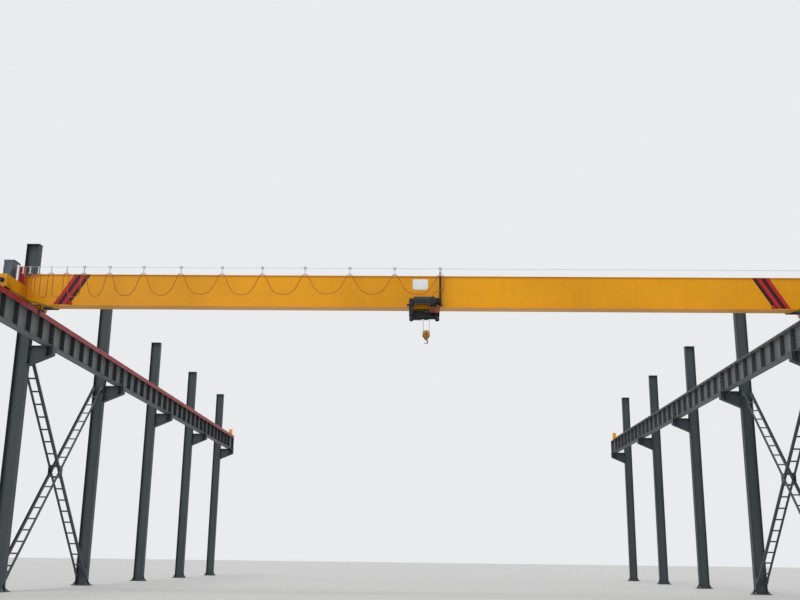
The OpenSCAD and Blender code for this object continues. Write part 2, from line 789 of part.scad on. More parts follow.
module carriage_buffers() {
  foot_t = 12;
  color(rubber_black) translate([0, bridge_y, 0])
    for (s = [-1, 1], m = [0, 1])
      translate([s * rail_x, 0, buffer_z]) mirror([0, m, 0]) {
        rod_y(carriage_l / 2, carriage_l / 2 + foot_t, buffer_r + 20);
        rod_y(carriage_l / 2 + foot_t, carriage_l / 2 + buffer_l - 20, buffer_r);
        rod_y(carriage_l / 2 + buffer_l - 20, carriage_l / 2 + buffer_l, buffer_r - 12);
      }
}

// Travel wheels: two flanged wheels with their axles on one axis
module travel_wheel() {
  r = wheel_r - seat_gap;
  rim = wheel_r + wheel_flange_h;
  half_t = tread_w / 2;
  outer = half_t + wheel_flange_t;
  hub = carriage_w / 2 - carriage_t - 10;
  rotate([0, 90, 0]) rotate_extrude()
    polygon([
      [0, -hub], [70, -hub], [70, -outer + 20], [rim - 40, -outer + 20], [rim - 40, -outer],
      [rim, -outer], [rim, -outer + 10], [r + 2, -half_t], [r, -half_t], [r, half_t],
      [r + 2, half_t], [rim, outer - 10], [rim, outer], [rim - 40, outer], [rim - 40, outer - 20],
      [70, outer - 20], [70, hub], [0, hub]
    ]);
  axle_half = carriage_w / 2 + housing_t - 14;
  rod_x(-axle_half, axle_half, axle_r);
}

module wheel_pair(y) {
  color(rail_steel)
    for (s = [-1, 1]) translate([s * rail_x, bridge_y + y, wheel_z]) travel_wheel();
}

module wheels_near() { wheel_pair(-wheelbase / 2); }
module wheels_far() { wheel_pair(wheelbase / 2); }

// Travel drives: a gearbox on the far wheel's inner housing and a motor along the bridge
module travel_drive(sign) {
  start = carriage_w / 2 + housing_t;
  body = drive_gear_l;
  fan_l = 50;
  color(motor_blue) side(sign)
    translate([rail_x, bridge_y + wheelbase / 2, wheel_z]) mirror([1, 0, 0]) {
      rod_x(start, start + body, housing_r + 15);
      span_box([start, -60, 0], [start + body, 60, 150]);
      rod_x(start + body, start + body + 18, drive_motor_r + 8);
      rod_x(start + body + 18, start + body + drive_motor_l - fan_l, drive_motor_r - 6);
      for (i = [0:8])
        rod_x(start + body + 34 + i * 22, start + body + 42 + i * 22, drive_motor_r);
      rod_x(start + body + drive_motor_l - fan_l, start + body + drive_motor_l, drive_motor_r + 2);
      span_box([start + body + 60, -40, 0], [start + body + 150, 40, drive_motor_r + 35]);
    }
}

module travel_drive_left() { travel_drive(-1); }
module travel_drive_right() { travel_drive(1); }

// Control cabinet on a bracket outside the left carriage, with its cable gland on the inner side
cabinet_inner_x = -(rail_x + carriage_w / 2 + cabinet_gap);
cabinet_bottom = carriage_top;

module control_cabinet() {
  half_l = cabinet_l / 2;
  color(motor_blue) translate([0, bridge_y + cabinet_y, 0]) {
    span_box([cabinet_inner_x - cabinet_w, -half_l, cabinet_bottom],
      [cabinet_inner_x, half_l, cabinet_bottom + cabinet_h]);
    span_box([cabinet_inner_x - cabinet_w - 6, -half_l - 10, cabinet_bottom + cabinet_h],
      [cabinet_inner_x + 20, half_l + 10, cabinet_bottom + cabinet_h + 12]);
    span_box([cabinet_inner_x - cabinet_w + 20, -half_l - 8, cabinet_bottom + 20],
      [cabinet_inner_x - 20, -half_l, cabinet_bottom + cabinet_h - 20]);
    for (y = [-half_l + 40, half_l - 80]) {
      span_box([cabinet_inner_x - cabinet_w + 20, y, cabinet_bottom - 40],
        [cabinet_inner_x + cabinet_gap, y + 40, cabinet_bottom]);
      span_box([cabinet_inner_x, y, cabinet_bottom - 200],
        [cabinet_inner_x + cabinet_gap, y + 40, cabinet_bottom - 40]);
    }
  }
  color(motor_blue) translate([0, bridge_y + gland_y, gland_z])
    rod_x(cabinet_inner_x, cabinet_inner_x + gland_l, cable_d / 2 + 8);
}

gland_l = 30;
gland_z = cabinet_bottom + 420;

module junction_box() {
  half_w = carriage_w / 2 - 15;
  color(signal_red) translate([-rail_x, bridge_y, carriage_top]) {
    span_box([-half_w, junction_near_y, 30], [half_w, junction_far_y, junction_h]);
    for (y = [junction_near_y + 10, junction_far_y - 50])
      span_box([-half_w + 10, y, 0], [half_w - 10, y + 40, 30]);
  }
}

// Current collector: a bracket on the left carriage and one sliding shoe for each bar
module current_collector() {
  plate_x = bar_x + bar_w + 14;
  carriage_x = -(rail_x - carriage_w / 2);
  color(charcoal) translate([0, bridge_y + collector_y, 0]) {
    span_box([carriage_x, -60, carriage_bottom + 20], [plate_x + 10, 60, carriage_bottom + 32]);
    span_box([plate_x, -60, bar_zs[0] - 20], [plate_x + 10, 60, carriage_bottom + 20]);
    for (z = bar_zs) span_box([bar_x + bar_w + 0.5, -90, z - 9], [plate_x, 90, z + 9]);
  }
}

// Festoon track: a tight wire between two posts, with the parked cable clamps at its left end
module festoon_post() {
  base = 140;
  span_box([-base / 2, -base / 2, carriage_top], [base / 2, base / 2, carriage_top + 10]);
  span_box([-post_w / 2, -post_w / 2, carriage_top + 10], [post_w / 2, post_w / 2, wire_z + 40]);
}

module festoon_track() {
  color(zinc) translate([0, bridge_y + festoon_y, 0]) {
    for (s = [-1, 1]) translate([s * post_x, 0, 0]) festoon_post();
    translate([0, 0, wire_z]) rod_x(-post_x + post_w / 2, post_x - post_w / 2, wire_d / 2);
    for (s = [-1, 1])
      translate([s * (post_x - post_w / 2), 0, wire_z])
        mirror([s > 0 ? 1 : 0, 0, 0]) rod_x(0, 40, wire_d);
    for (x = clamp_xs) translate([x, 0, 0]) cable_clamp();
  }
}

// A clamp fixed on the wire, with a saddle for the cable
module cable_clamp() {
  span_box([-hanger_t / 2, -20, wire_z - 12], [hanger_t / 2, 20, wire_z + wire_d / 2 + 6]);
  for (y = [-20, 14])
    span_box([-hanger_t / 2, y, saddle_top], [hanger_t / 2, y + 6, wire_z - 12]);
  hanger_saddle();
}

module hanger_saddle() {
  guard_y = cable_d / 2 + 4;
  difference() {
    span_box([-saddle_l / 2, -guard_y - 4, saddle_top - 8], [saddle_l / 2, guard_y + 4, saddle_top + cable_d]);
    span_box([-saddle_l / 2 - 1, -guard_y, saddle_top], [saddle_l / 2 + 1, guard_y, saddle_top + cable_d + 1]);
  }
}

// A carrier that rolls on the wire on two grooved rollers
module cable_carrier(x) {
  clear = seat_gap;
  roller_z = wire_z + wire_d / 2 + clear + roller_r - 6;
  color(zinc) translate([x, bridge_y + festoon_y, 0]) {
    for (s = [-1, 1])
      translate([s * (roller_r + 4), 0, roller_z]) rotate([90, 0, 0]) rotate_extrude()
        polygon([
          [0, -14], [roller_r, -14], [roller_r, -10], [roller_r - 6, -wire_d / 2 - 1],
          [roller_r - 6, wire_d / 2 + 1], [roller_r, 10], [roller_r, 14], [0, 14]
        ]);
    for (y = [-20, 14])
      span_box([-roller_r - 16, y, wire_z - 24], [roller_r + 16, y + 6, roller_z + 10]);
    span_box([-hanger_t / 2, -20, wire_z - 24], [hanger_t / 2, 20, wire_z - 12]);
    for (y = [-20, 14])
      span_box([-hanger_t / 2, y, saddle_top], [hanger_t / 2, y + 6, wire_z - 12]);
    hanger_saddle();
  }
}

module cable_carrier_1() { cable_carrier(carrier_xs[0]); }
module cable_carrier_2() { cable_carrier(carrier_xs[1]); }
module cable_carrier_3() { cable_carrier(carrier_xs[2]); }
module cable_carrier_4() { cable_carrier(carrier_xs[3]); }
module cable_carrier_5() { cable_carrier(carrier_xs[4]); }
module cable_carrier_6() { cable_carrier(carrier_xs[5]); }
module cable_carrier_7() { cable_carrier(carrier_xs[6]); }
module cable_carrier_8() { cable_carrier(carrier_xs[7]); }
module cable_carrier_9() { cable_carrier(carrier_xs[8]); }
module cable_carrier_10() { cable_carrier(carrier_xs[9]); }

// Sweep of a round section along points, as one polyhedron; radii has one value a point
function unit(v) = v / norm(v);
function tangent(p, i) =
  unit(p[min(i + 1, len(p) - 1)] - p[max(i - 1, 0)]);
function ring(p, i, r, sides, ref) =
  let (t = tangent(p, i), a = unit(cross(ref, t)), b = cross(t, a))
  [for (k = [0:sides - 1]) p[i] + r * (cos(360 * (k + 0.5) / sides) * a + sin(360 * (k + 0.5) / sides) * b)];

module sweep(points, radii, sides, ref) {
  n = len(points);
  rings = [for (i = [0:n - 1]) each ring(points, i, radii[i], sides, ref)];
  walls = [for (i = [0:n - 2], k = [0:sides - 1])
    let (a = i * sides + k, b = i * sides + (k + 1) % sides)
    [b, a, a + sides, b + sides]];
  near = [for (k = [0:sides - 1]) k];
  far = [for (k = [sides - 1:-1:0]) (n - 1) * sides + k];
  polyhedron(points = rings, faces = concat([near], walls, [far]), convexity = 10);
}

// Festoon cable: from the cabinet over every clamp and carrier to the hoist
seat_xs = concat(clamp_xs, carrier_xs);
loop_sags = [700, 700, 710, 700, 690, 670, 640, 620, 590, 600, 580, 560, 560, 560];
cable_start = [cabinet_inner_x + gland_l + seat_gap, gland_y, gland_z];
first_seat = [clamp_xs[0] - seat_end, festoon_y, cable_seat_z];
lead_in_shape = [[0, 0, 0], [0.20, 0, 0], [0.45, 0.03, 0.16], [0.64, 0.16, 0.48], [0.76, 0.42, 0.79],
  [0.86, 0.80, 0.96]];
lead_in = [for (p = lead_in_shape)
  [for (i = [0:2]) cable_start[i] + p[i] * (first_seat[i] - cable_start[i])]];
last_seat = [tow_x + seat_end, festoon_y, cable_seat_z];
cable_end = [gearbox_right_x - 60, drum_y, drum_z + 138 + seat_gap];
lead_out = concat(
  [for (d = [[22, 0, -40], [43, 5, -195], [43, 30, -365], [-7, 80, -465]]) last_seat + d],
  [for (d = [[145, -10, 81], [45, 0, 66], [5, 0, 36], [0, 0, 16], [0, 0, 0]]) cable_end + d]
);
wide_loop = [[0.13, 0.60], [0.35, 0.96], [0.65, 0.96], [0.87, 0.60]];
narrow_loop = [[0.20, 0.72], [0.50, 1], [0.80, 0.72]];
narrow_gap = 500;

function seat_points(x) =
  [for (s = [-1, 1]) [x + s * seat_end, festoon_y, cable_seat_z]];
function loop_points(i) =
  let (a = seat_xs[i], g = seat_xs[i + 1] - a, shape = g < narrow_gap ? narrow_loop : wide_loop)
  [for (p = shape) [a + p[0] * g, festoon_y, cable_seat_z - p[1] * loop_sags[i]]];
cable_route = concat(
  lead_in,
  [for (i = [0:len(seat_xs) - 1])
    each concat(seat_points(seat_xs[i]), i < len(seat_xs) - 1 ? loop_points(i) : [])],
  lead_out
);

module festoon_cable() {
  color(cable_orange) translate([0, bridge_y, 0])
    sweep(cable_route, [for (p = cable_route) cable_d / 2], 8, [0, 1, 0]);
}

// Hoist frame: two side plates on the girder's lips, joined by cross shafts below it
module side_plate() {
  low = plate_bottom_z;
  top = plate_top_z;
  bar = plate_top_z - top_bar_h;
  chamfer = 30;
  l = left_leg_x - leg_w / 2;
  r = right_leg_x + leg_w / 2;
  difference() {
    polygon([
      [l, low + chamfer], [l + chamfer, low], [l + leg_w - chamfer, low], [l + leg_w, low + chamfer],
      [l + leg_w, bar - 60], [l + leg_w + 60, bar], [r - leg_w - 60, bar], [r - leg_w, bar - 60],
      [r - leg_w, low + chamfer], [r - leg_w + chamfer, low], [r - chamfer, low], [r, low + chamfer],
      [r, bar], [tow_x + 25, bar + 40], [tow_x + 25, top], [l + chamfer, top], [l, top - chamfer]
    ]);
    for (x = [left_leg_x, right_leg_x])
      translate([x, axle_z]) circle(trolley_axle_r + running_gap);
  }
}

module hoist_frame() {
  nut_t = 18;
  beam_y = 70;
  bumper_pad_t = 8;
  bumper_z = axle_z - 25;
  color(charcoal) translate([0, bridge_y, 0]) {
    for (m = [0, 1]) mirror([0, m, 0]) {
      upright(plate_inner_y + side_plate_t / 2, side_plate_t) side_plate();
      for (x = [left_leg_x, right_leg_x])
        translate([x, 0, cross_shaft_z]) rod_y(plate_outer_y, plate_outer_y + nut_t, cross_shaft_r + 12);
      for (end = [-1, 1])
        translate([trolley_x + end * (axle_dx + leg_w / 2), plate_inner_y + bumper_r, bumper_z])
          mirror([end < 0 ? 1 : 0, 0, 0]) {
            span_box([0, -bumper_r, -bumper_r - 5], [bumper_pad_t, bumper_r, bumper_r + 5]);
            rod_x(bumper_pad_t, bumper_l, bumper_r);
          }
      span_box([left_leg_x, beam_y, cross_shaft_z - 40], [right_leg_x, beam_y + 30, cross_shaft_z + 40]);
    }
    for (x = [left_leg_x, right_leg_x])
      translate([x, 0, cross_shaft_z]) rod_y(-plate_inner_y, plate_inner_y, cross_shaft_r);
  }
}

// Drum cover: a folded hood over the drum with a bearing plate at each end
module hood_outline(inset) {
  rear = -plate_outer_y;
  top = drum_z + drum_r + 34;
  front = drum_y - drum_r - 24;
  polygon([
    [rear, drum_z - drum_r - 20], [rear, top - inset], [drum_y + 20, top - inset],
    [drum_y - 60, top - 22 - inset], [front + inset, drum_z + 30], [front + inset, drum_z - 60],
    [drum_y - 80, drum_z - drum_r - 20]
  ]);
}

module drum_cover() {
  color(charcoal) translate([0, bridge_y, 0]) {
    difference() {
      lay_x(cover_left_x, cover_right_x) hood_outline(0);
      lay_x(cover_left_x + bearing_t, cover_right_x - bearing_t) difference() {
        hood_outline(cover_t);
        translate([-plate_outer_y - cover_t, drum_z]) square([cover_t + 1, 200]);
      }
      lay_x(cover_left_x + bearing_t, cover_right_x - bearing_t)
        translate([drum_y - 200, drum_z - drum_r - 40]) square([400, 60]);
      translate([0, drum_y, drum_z])
        rod_x(cover_left_x - 1, cover_right_x + 1, drum_shaft_r + running_gap);
    }
  }
}

// A profile drawn in the YZ plane and laid along X
module lay_x(from_x, to_x) {
  translate([from_x, 0, 0]) rotate([90, 0, 90]) linear_extrude(to_x - from_x) children();
}

// Rope drum: a grooved barrel between two flanges, on its shaft
module rope_drum() {
  grooves = floor((drum_l - 20) / groove_pitch);
  first = (drum_l - grooves * groove_pitch) / 2;
  depth = rope_d / 4;
  flange_r = drum_r + 12;
  t = drum_flange_t;
  barrel = [for (i = [0:grooves - 1], p = [[0, 0], [0.25, -depth], [0.75, -depth]])
    [drum_r + p[1], first + (i + p[0]) * groove_pitch]];
  color(zinc) translate([drum_left_x, bridge_y + drum_y, drum_z]) rotate([0, 90, 0])
    rotate_extrude()
      polygon(concat(
        [[0, -t - bearing_t], [drum_shaft_r, -t - bearing_t], [drum_shaft_r, -t], [flange_r, -t],
          [flange_r, 0], [drum_r, 0]],
        barrel,
        [[drum_r, drum_l], [flange_r, drum_l], [flange_r, drum_l + t], [drum_shaft_r, drum_l + t],
          [drum_shaft_r, drum_l + t + bearing_t], [0, drum_l + t + bearing_t]]
      ));
}

module hoist_gearbox() {
  front = drum_y - 105;
  color(charcoal) translate([0, bridge_y, 0]) {
    lay_x(cover_right_x, gearbox_right_x)
      polygon([
        [-plate_outer_y, drum_z - 120], [-plate_outer_y, drum_z + 110], [front + 50, drum_z + 118],
        [front, drum_z + 70], [front, drum_z - 80], [front + 50, drum_z - 130]
      ]);
    translate([gearbox_right_x - 60, drum_y, drum_z + 110]) cylinder(h = 28, r = cable_d / 2 + 8);
  }
}

module hoist_motor() {
  start = gearbox_right_x;
  fan_l = 40;
  color(charcoal) translate([0, bridge_y + drum_y, drum_z]) {
    rod_x(start, start + 14, hoist_motor_r + 6);
    rod_x(start + 14, start + hoist_motor_l - fan_l, hoist_motor_r - 8);
    for (i = [0:6])
      rod_x(start + 26 + i * 17, start + 33 + i * 17, hoist_motor_r);
    rod_x(start + hoist_motor_l - fan_l, start + hoist_motor_l, hoist_motor_r);
  }
}

// Trolley drive: a gearbox on the right leg and a motor that lies along the girder
module trolley_drive() {
  top = drum_z - hoist_motor_r - 14;
  low = top - 250;
  motor_z = low + 95;
  motor_r = 62;
  gear_left = right_leg_x - 45;
  motor_y = -plate_outer_y - motor_r - free_gap;
  gear_y = motor_y - motor_r;
  color(gear_brown) translate([0, bridge_y, 0]) {
    span_box([gear_left, gear_y, low + 30], [right_leg_x + 50, -plate_outer_y, top]);
    translate([0, motor_y, motor_z]) {
      rod_x(gear_left - 180, gear_left, motor_r - 5);
      for (i = [0:6]) rod_x(gear_left - 150 + i * 18, gear_left - 143 + i * 18, motor_r);
      rod_x(gear_left - 215, gear_left - 180, motor_r);
    }
  }
}

module control_box() {
  left = left_leg_x + 20;
  right = right_leg_x - 20;
  top = plate_top_z - 20;
  color(charcoal) translate([0, bridge_y, 0]) {
    span_box([left, plate_outer_y + 20, top - control_box_h], [right, plate_outer_y + control_box_d, top]);
    for (x = [left + 20, right - 60], z = [top - 100, top - 50])
      span_box([x, plate_outer_y, z], [x + 40, plate_outer_y + 20, z + 30]);
  }
}

// Reeving head: rope anchor and upper sheave housing between the frame's lower beams
module reeving_head() {
  half_y = 70;
  fall = sheave_pitch_r;
  color(charcoal) translate([0, bridge_y, 0]) {
    span_box([hook_x - 366, -half_y, cross_shaft_z - 77], [hook_x - 124, half_y, head_top_z]);
    span_box([hook_x - fall - 16, -half_y, head_step_z], [hook_x + fall + 16, half_y, head_top_z]);
    span_box([hook_x - fall + 15, -half_y + 20, cross_shaft_z - 77],
      [hook_x + fall - 28, half_y - 20, head_step_z]);
    span_box([hook_x - 124, -15, head_top_z - 60], [hook_x - fall - 16, 15, head_top_z - 20]);
  }
}

// Tow arm: a post on the side plate with a fork that pulls the last carrier
module tow_arm() {
  w = 50;
  arm_z = wire_z - 125;
  prong_gap = hanger_t / 2 + free_gap;
  color(charcoal) translate([tow_x, bridge_y, 0]) {
    span_box([-w / 2, -plate_outer_y, plate_top_z], [w / 2, -plate_outer_y + w, arm_z]);
    span_box([-w / 2, festoon_y + 44, arm_z], [w / 2, -plate_outer_y + w, arm_z + w]);
    for (s = [-1, 1])
      span_box([s > 0 ? prong_gap : -w / 2, festoon_y - 34, arm_z],
        [s > 0 ? w / 2 : -prong_gap, festoon_y + 44, arm_z + w]);
    rotate([90, 0, 90]) linear_extrude(10, center = true)
      polygon([[-plate_outer_y, arm_z - 160], [-plate_outer_y, arm_z], [-plate_outer_y - 150, arm_z]]);
  }
}

// Trolley wheels: one on each lip of the girder, on one axis
module trolley_wheel_pair(x) {
  r = trolley_wheel_r;
  tread_in = wheel_inner_y - trolley_tread_w;
  color(rail_steel) translate([x, bridge_y, axle_z])
    for (m = [0, 1]) mirror([0, m, 0]) {
      rod_y(tread_in, wheel_inner_y, r);
      rod_y(wheel_inner_y, wheel_inner_y + trolley_flange_t, r + trolley_flange_h);
      rod_y(wheel_inner_y + trolley_flange_t, plate_outer_y - 2, trolley_axle_r);
    }
}

module trolley_wheels_left() { trolley_wheel_pair(left_leg_x); }
module trolley_wheels_right() { trolley_wheel_pair(right_leg_x); }

// Rope falls from the reeving head to the level of the sheave's axle
module rope_falls() {
  color(zinc) translate([hook_x, bridge_y, sheave_z])
    for (s = [-1, 1])
      translate([s * sheave_pitch_r, 0, 0]) cylinder(h = head_step_z - sheave_z, d = rope_d, $fn = 16);
}

// Hook block: two cheeks around the sheave, held by spacers and the crosshead
module cheek_outline() {
  half = block_w / 2;
  difference() {
    union() {
      translate([0, sheave_z]) circle(half);
      translate([-half, sheave_z - 60]) square([2 * half, 60]);
      polygon([[-half, sheave_z - 60], [half, sheave_z - 60], [45, crosshead_z], [-45, crosshead_z]]);
    }
    translate([0, sheave_z]) circle(20 + running_gap);
  }
}

module hook_block() {
  color(crane_yellow) translate([hook_x, bridge_y, 0]) {
    for (m = [0, 1]) mirror([0, m, 0]) upright(cheek_y + cheek_t / 2, cheek_t) cheek_outline();
    difference() {
      span_box([-45, -cheek_y, crosshead_z], [45, cheek_y, crosshead_z + crosshead_h]);
      translate([0, 0, crosshead_z - 1]) cylinder(h = crosshead_h + 2, r = shank_r + running_gap);
    }
  }
}

module hook_sheave() {
  root = sheave_pitch_r - rope_d / 2 - seat_gap;
  half = sheave_w / 2;
  groove = rope_d / 2 + 1;
  color(charcoal) translate([hook_x, bridge_y, sheave_z]) rotate([90, 0, 0]) rotate_extrude()
    polygon([
      [0, -cheek_y - cheek_t + 1], [20, -cheek_y - cheek_t + 1], [20, -cheek_y + 1], [32, -cheek_y + 1],
      [32, -half + 7], [root - 14, -half + 7], [root - 6, -half], [sheave_rim_r, -half],
      [sheave_rim_r, -groove - 1], [root, -groove], [root, groove], [sheave_rim_r, groove + 1],
      [sheave_rim_r, half], [root - 6, half], [root - 14, half - 7], [32, half - 7],
      [32, cheek_y - 1], [20, cheek_y - 1], [20, cheek_y + cheek_t - 1], [0, cheek_y + cheek_t - 1]
    ]);
}

// Hook: a shank with a nut over the crosshead and a bar bent round the throat
module hook() {
  mid_r = hook_throat_r + hook_bar_r;
  neck = 30;
  centre_z = crosshead_z - neck - mid_r;
  steps = 14;
  first = 90;
  last = -150;
  angles = [for (i = [0:steps]) first + (last - first) * i / steps];
  arc = [for (a = angles) [mid_r * cos(a), 0, centre_z + mid_r * sin(a)]];
  tip = arc[steps] + [-6, 0, 14];
  radii = concat([for (i = [0:steps]) hook_bar_r * (i < 4 ? 0.85 + 0.0375 * i : 1 - 0.035 * (i - 4))], [5]);
  color(charcoal) translate([hook_x, bridge_y, 0]) {
    translate([0, 0, crosshead_z - neck - 6]) cylinder(h = crosshead_h + neck + 6, r = shank_r);
    translate([0, 0, crosshead_z + crosshead_h]) cylinder(h = 14, r = cheek_y - 1);
    sweep(concat(arc, [tip]), radii, 12, [0, 1, 0]);
  }
}

columns_left();
columns_right();
corbels_left();
corbels_right();
runway_beam_left();
runway_beam_right();
rail_left();
rail_right();
runway_end_stops();
bracing_left();
bracing_right();
conductor_rail();
girder();
sign_plate();
trolley_stops();
end_carriage_left();
end_carriage_right();
carriage_buffers();
travel_drive_left();
travel_drive_right();
control_cabinet();
junction_box();
current_collector();
festoon_track();
festoon_cable();
wheels_near();
wheels_far();
hoist_frame();
drum_cover();
rope_drum();
hoist_gearbox();
hoist_motor();
trolley_drive();
control_box();
reeving_head();
tow_arm();
trolley_wheels_left();
trolley_wheels_right();
rope_falls();
hook_block();
hook_sheave();
hook();
cable_carrier_1();
cable_carrier_2();
cable_carrier_3();
cable_carrier_4();
cable_carrier_5();
cable_carrier_6();
cable_carrier_7();
cable_carrier_8();
cable_carrier_9();
cable_carrier_10();
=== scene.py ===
"""Looks of a single-girder overhead bridge crane and its runway, laid out as a Blender add-on.

Sizes are in metres. X runs along the bridge, Y along the runway and Z up from the floor.
"""

import math
from functools import reduce
from itertools import product

import bmesh
import bpy
from mathutils import Matrix, Vector


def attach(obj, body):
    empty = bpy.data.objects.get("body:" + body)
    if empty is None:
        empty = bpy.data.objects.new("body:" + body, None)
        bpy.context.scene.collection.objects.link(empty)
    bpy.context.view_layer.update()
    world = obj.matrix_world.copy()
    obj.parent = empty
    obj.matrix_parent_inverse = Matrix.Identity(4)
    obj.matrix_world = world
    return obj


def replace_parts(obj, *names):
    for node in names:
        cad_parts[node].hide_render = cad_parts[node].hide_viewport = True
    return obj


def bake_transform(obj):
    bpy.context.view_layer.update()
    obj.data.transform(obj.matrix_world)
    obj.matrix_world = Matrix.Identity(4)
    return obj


bl_info = {
    "name": "Overhead Bridge Crane",
    "version": (1, 0, 0),
    "blender": (4, 5, 0),
    "location": "3D View > Sidebar > Crane",
    "description": "Finishes, cables, ropes, bolts and fittings of an overhead bridge crane",
    "category": "Object",
}

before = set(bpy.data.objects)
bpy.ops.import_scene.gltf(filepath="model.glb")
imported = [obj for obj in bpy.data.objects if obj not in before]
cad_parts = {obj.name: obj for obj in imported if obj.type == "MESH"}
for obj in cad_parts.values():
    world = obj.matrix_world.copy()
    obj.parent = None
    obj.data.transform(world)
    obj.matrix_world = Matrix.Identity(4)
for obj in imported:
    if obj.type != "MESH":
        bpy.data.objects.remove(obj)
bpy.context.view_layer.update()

# Places that the solids fix
COLUMN_X = 12.0
COLUMN_YS = [-18.0 + 7.2 * i for i in range(6)]
FOOT_TOP = 0.030
CAP_BOTTOM = 10.370
RAIL_X = 11.25
BEAM_TOP = 7.866
BEAM_BOTTOM = 7.166
FLANGE = 0.016
RAIL_TOP = 8.0
BRIDGE_Y = -12.96
LIP_TOP = 7.87
GIRDER_TOP = 8.77
CARRIAGE_TOP = 8.4
WHEEL_Y = 1.25
WHEEL_Z = 8.16
WIRE_Z = 8.875
FESTOON_Y = BRIDGE_Y - 0.54
CABINET_Y = BRIDGE_Y - 0.285
GLAND_Y = BRIDGE_Y - 0.47
SEAT_Z = 8.6953
DRUM_Y = BRIDGE_Y - 0.39
DRUM_Z = 7.9863
AXLE_XS = (-0.195, 0.535)
HOOK_X = 0.225
HEAD_PIN_Z = 7.722
SHEAVE_Z = 7.14
CLAMP_XS = [-11.11, -10.91, -10.67, -10.31, -9.87]
CARRIER_XS = [-9.38, -8.66, -7.70, -6.65, -5.49, -4.36, -3.16, -1.91, -0.66, 0.61]
LOOP_SAGS = [0.70, 0.70, 0.71, 0.70, 0.69, 0.67, 0.64, 0.62, 0.59, 0.60, 0.58, 0.56, 0.56, 0.56]

RIGHT, LEFT, BACK, FRONT, UP, DOWN = (1, 0, 0), (-1, 0, 0), (0, 1, 0), (0, -1, 0), (0, 0, 1), (0, 0, -1)
SIDES = (-1, 1)

# A step's wall leans in by this much, too little to be seen
STEP_LEAN = 0.0002
# Edges sharper than this are eased, and faces that meet at less than this are shaded as one
EASED_DEGREES = 40
SMOOTH_DEGREES = 35


def srgb(red, green, blue):
    """A colour read from 0 to 255, as the linear values that shaders use."""
    def linear(value):
        value /= 255
        return value / 12.92 if value <= 0.04045 else ((value + 0.055) / 1.055) ** 2.4

    return (linear(red), linear(green), linear(blue))


def paint_colour(name, description, red, green, blue):
    return bpy.props.FloatVectorProperty(
        name=name, description=description, default=srgb(red, green, blue), size=3, min=0, max=1,
        subtype="COLOR",
    )


def length(name, description, default, low, high):
    return bpy.props.FloatProperty(
        name=name, description=description, default=default, min=low, max=high,
        unit="LENGTH", subtype="DISTANCE",
    )


def share(name, description, default):
    return bpy.props.FloatProperty(
        name=name, description=description, default=default, min=0, max=1, subtype="FACTOR"
    )


class CraneColours(bpy.types.PropertyGroup):
    structure: paint_colour("Structure", "Paint of the columns, corbels and bracing", 62, 70, 74)
    beam: paint_colour("Runway beam", "Primer of the runway beams", 100, 104, 106)
    crane: paint_colour("Crane", "Yellow paint of the girder and carriages", 221, 151, 8)
    red: paint_colour("Red", "Red paint of the junction box, stops and stripes", 172, 36, 40)
    stripe_dark: paint_colour("Dark stripe", "Dark bands between the red ones", 50, 18, 22)
    charcoal: paint_colour("Charcoal", "Paint of the hoist", 34, 35, 41)
    motor: paint_colour("Cabinet blue", "Grey-blue paint of the cabinet and drives", 78, 91, 103)
    drive: paint_colour("Drive brown", "Oxide paint of the trolley drive", 122, 66, 44)
    zinc: paint_colour("Zinc", "Galvanised steel", 178, 180, 182)
    rail: paint_colour("Rail", "Mill steel of the rails and wheels", 104, 96, 90)
    conductor: paint_colour("Conductor", "Housing of the conductor rail", 172, 48, 54)
    cable: paint_colour("Cable", "Jacket of the festoon cable", 170, 76, 24)
    rubber: paint_colour("Rubber", "Buffers, glands and seals", 30, 30, 31)
    plate: paint_colour("Sign plate", "Enamel of the bare sign plate", 222, 224, 224)
    hook: paint_colour("Hook block", "Yellow of the hook block", 178, 128, 38)
    floor: paint_colour("Floor", "Pale studio floor", 200, 200, 198)


class CraneSizes(bpy.types.PropertyGroup):
    anchor_bolt: length("Anchor bolt", "Radius of an anchor bolt's nut", 0.021, 0.015, 0.026)
    beam_bolt: length("Beam bolt", "Radius of a structural bolt's head", 0.017, 0.010, 0.022)
    clip_pitch: length("Clip pitch", "Distance between two rail clips", 0.6, 0.4, 0.9)
    weld: length("Weld", "Leg of a fillet weld", 0.008, 0.004, 0.012)
    cable: length("Cable", "Diameter of the festoon cable", 0.020, 0.015, 0.020)
    cable_bend: length("Cable bend", "Radius of the cable where it leaves a saddle", 0.046, 0.040, 0.060)
    rope: length("Rope", "Diameter of the hoisting rope", 0.012, 0.010, 0.013)
    stripe_band: length("Stripe band", "Width of one hazard stripe along the girder", 0.1188, 0.08, 0.15)


class CraneWeather(bpy.types.PropertyGroup):
    dust: share("Dust", "Settled dust on faces that look up", 0.28)
    runs: share("Grime runs", "Dirt that has run down upright faces", 0.22)
    wear: share("Wear", "Bare steel at rubbed edges", 0.35)
    fade: share("Fade", "How much a paint changes from patch to patch", 0.10)


def colours():
    return bpy.context.scene.crane_colours


def sizes():
    return bpy.context.scene.crane_sizes


def weather():
    return bpy.context.scene.crane_weather


# Modelling by hand: start from a primitive, shape it in edit mode, finish it


def clear_selection():
    if bpy.context.mode != "OBJECT":
        bpy.ops.object.mode_set(mode="OBJECT")
    bpy.ops.object.select_all(action="DESELECT")


def pick(*pieces):
    clear_selection()
    for piece in pieces:
        piece.select_set(True)
    bpy.context.view_layer.objects.active = pieces[0]


def settle(name):
    piece = bpy.context.object
    bpy.ops.object.transform_apply(location=True, rotation=True, scale=True)
    piece.name = piece.data.name = name
    return piece


def start_box(name, low, high):
    clear_selection()
    low, high = Vector(low), Vector(high)
    bpy.ops.mesh.primitive_cube_add(size=1, location=(low + high) / 2, scale=high - low)
    return settle(name)


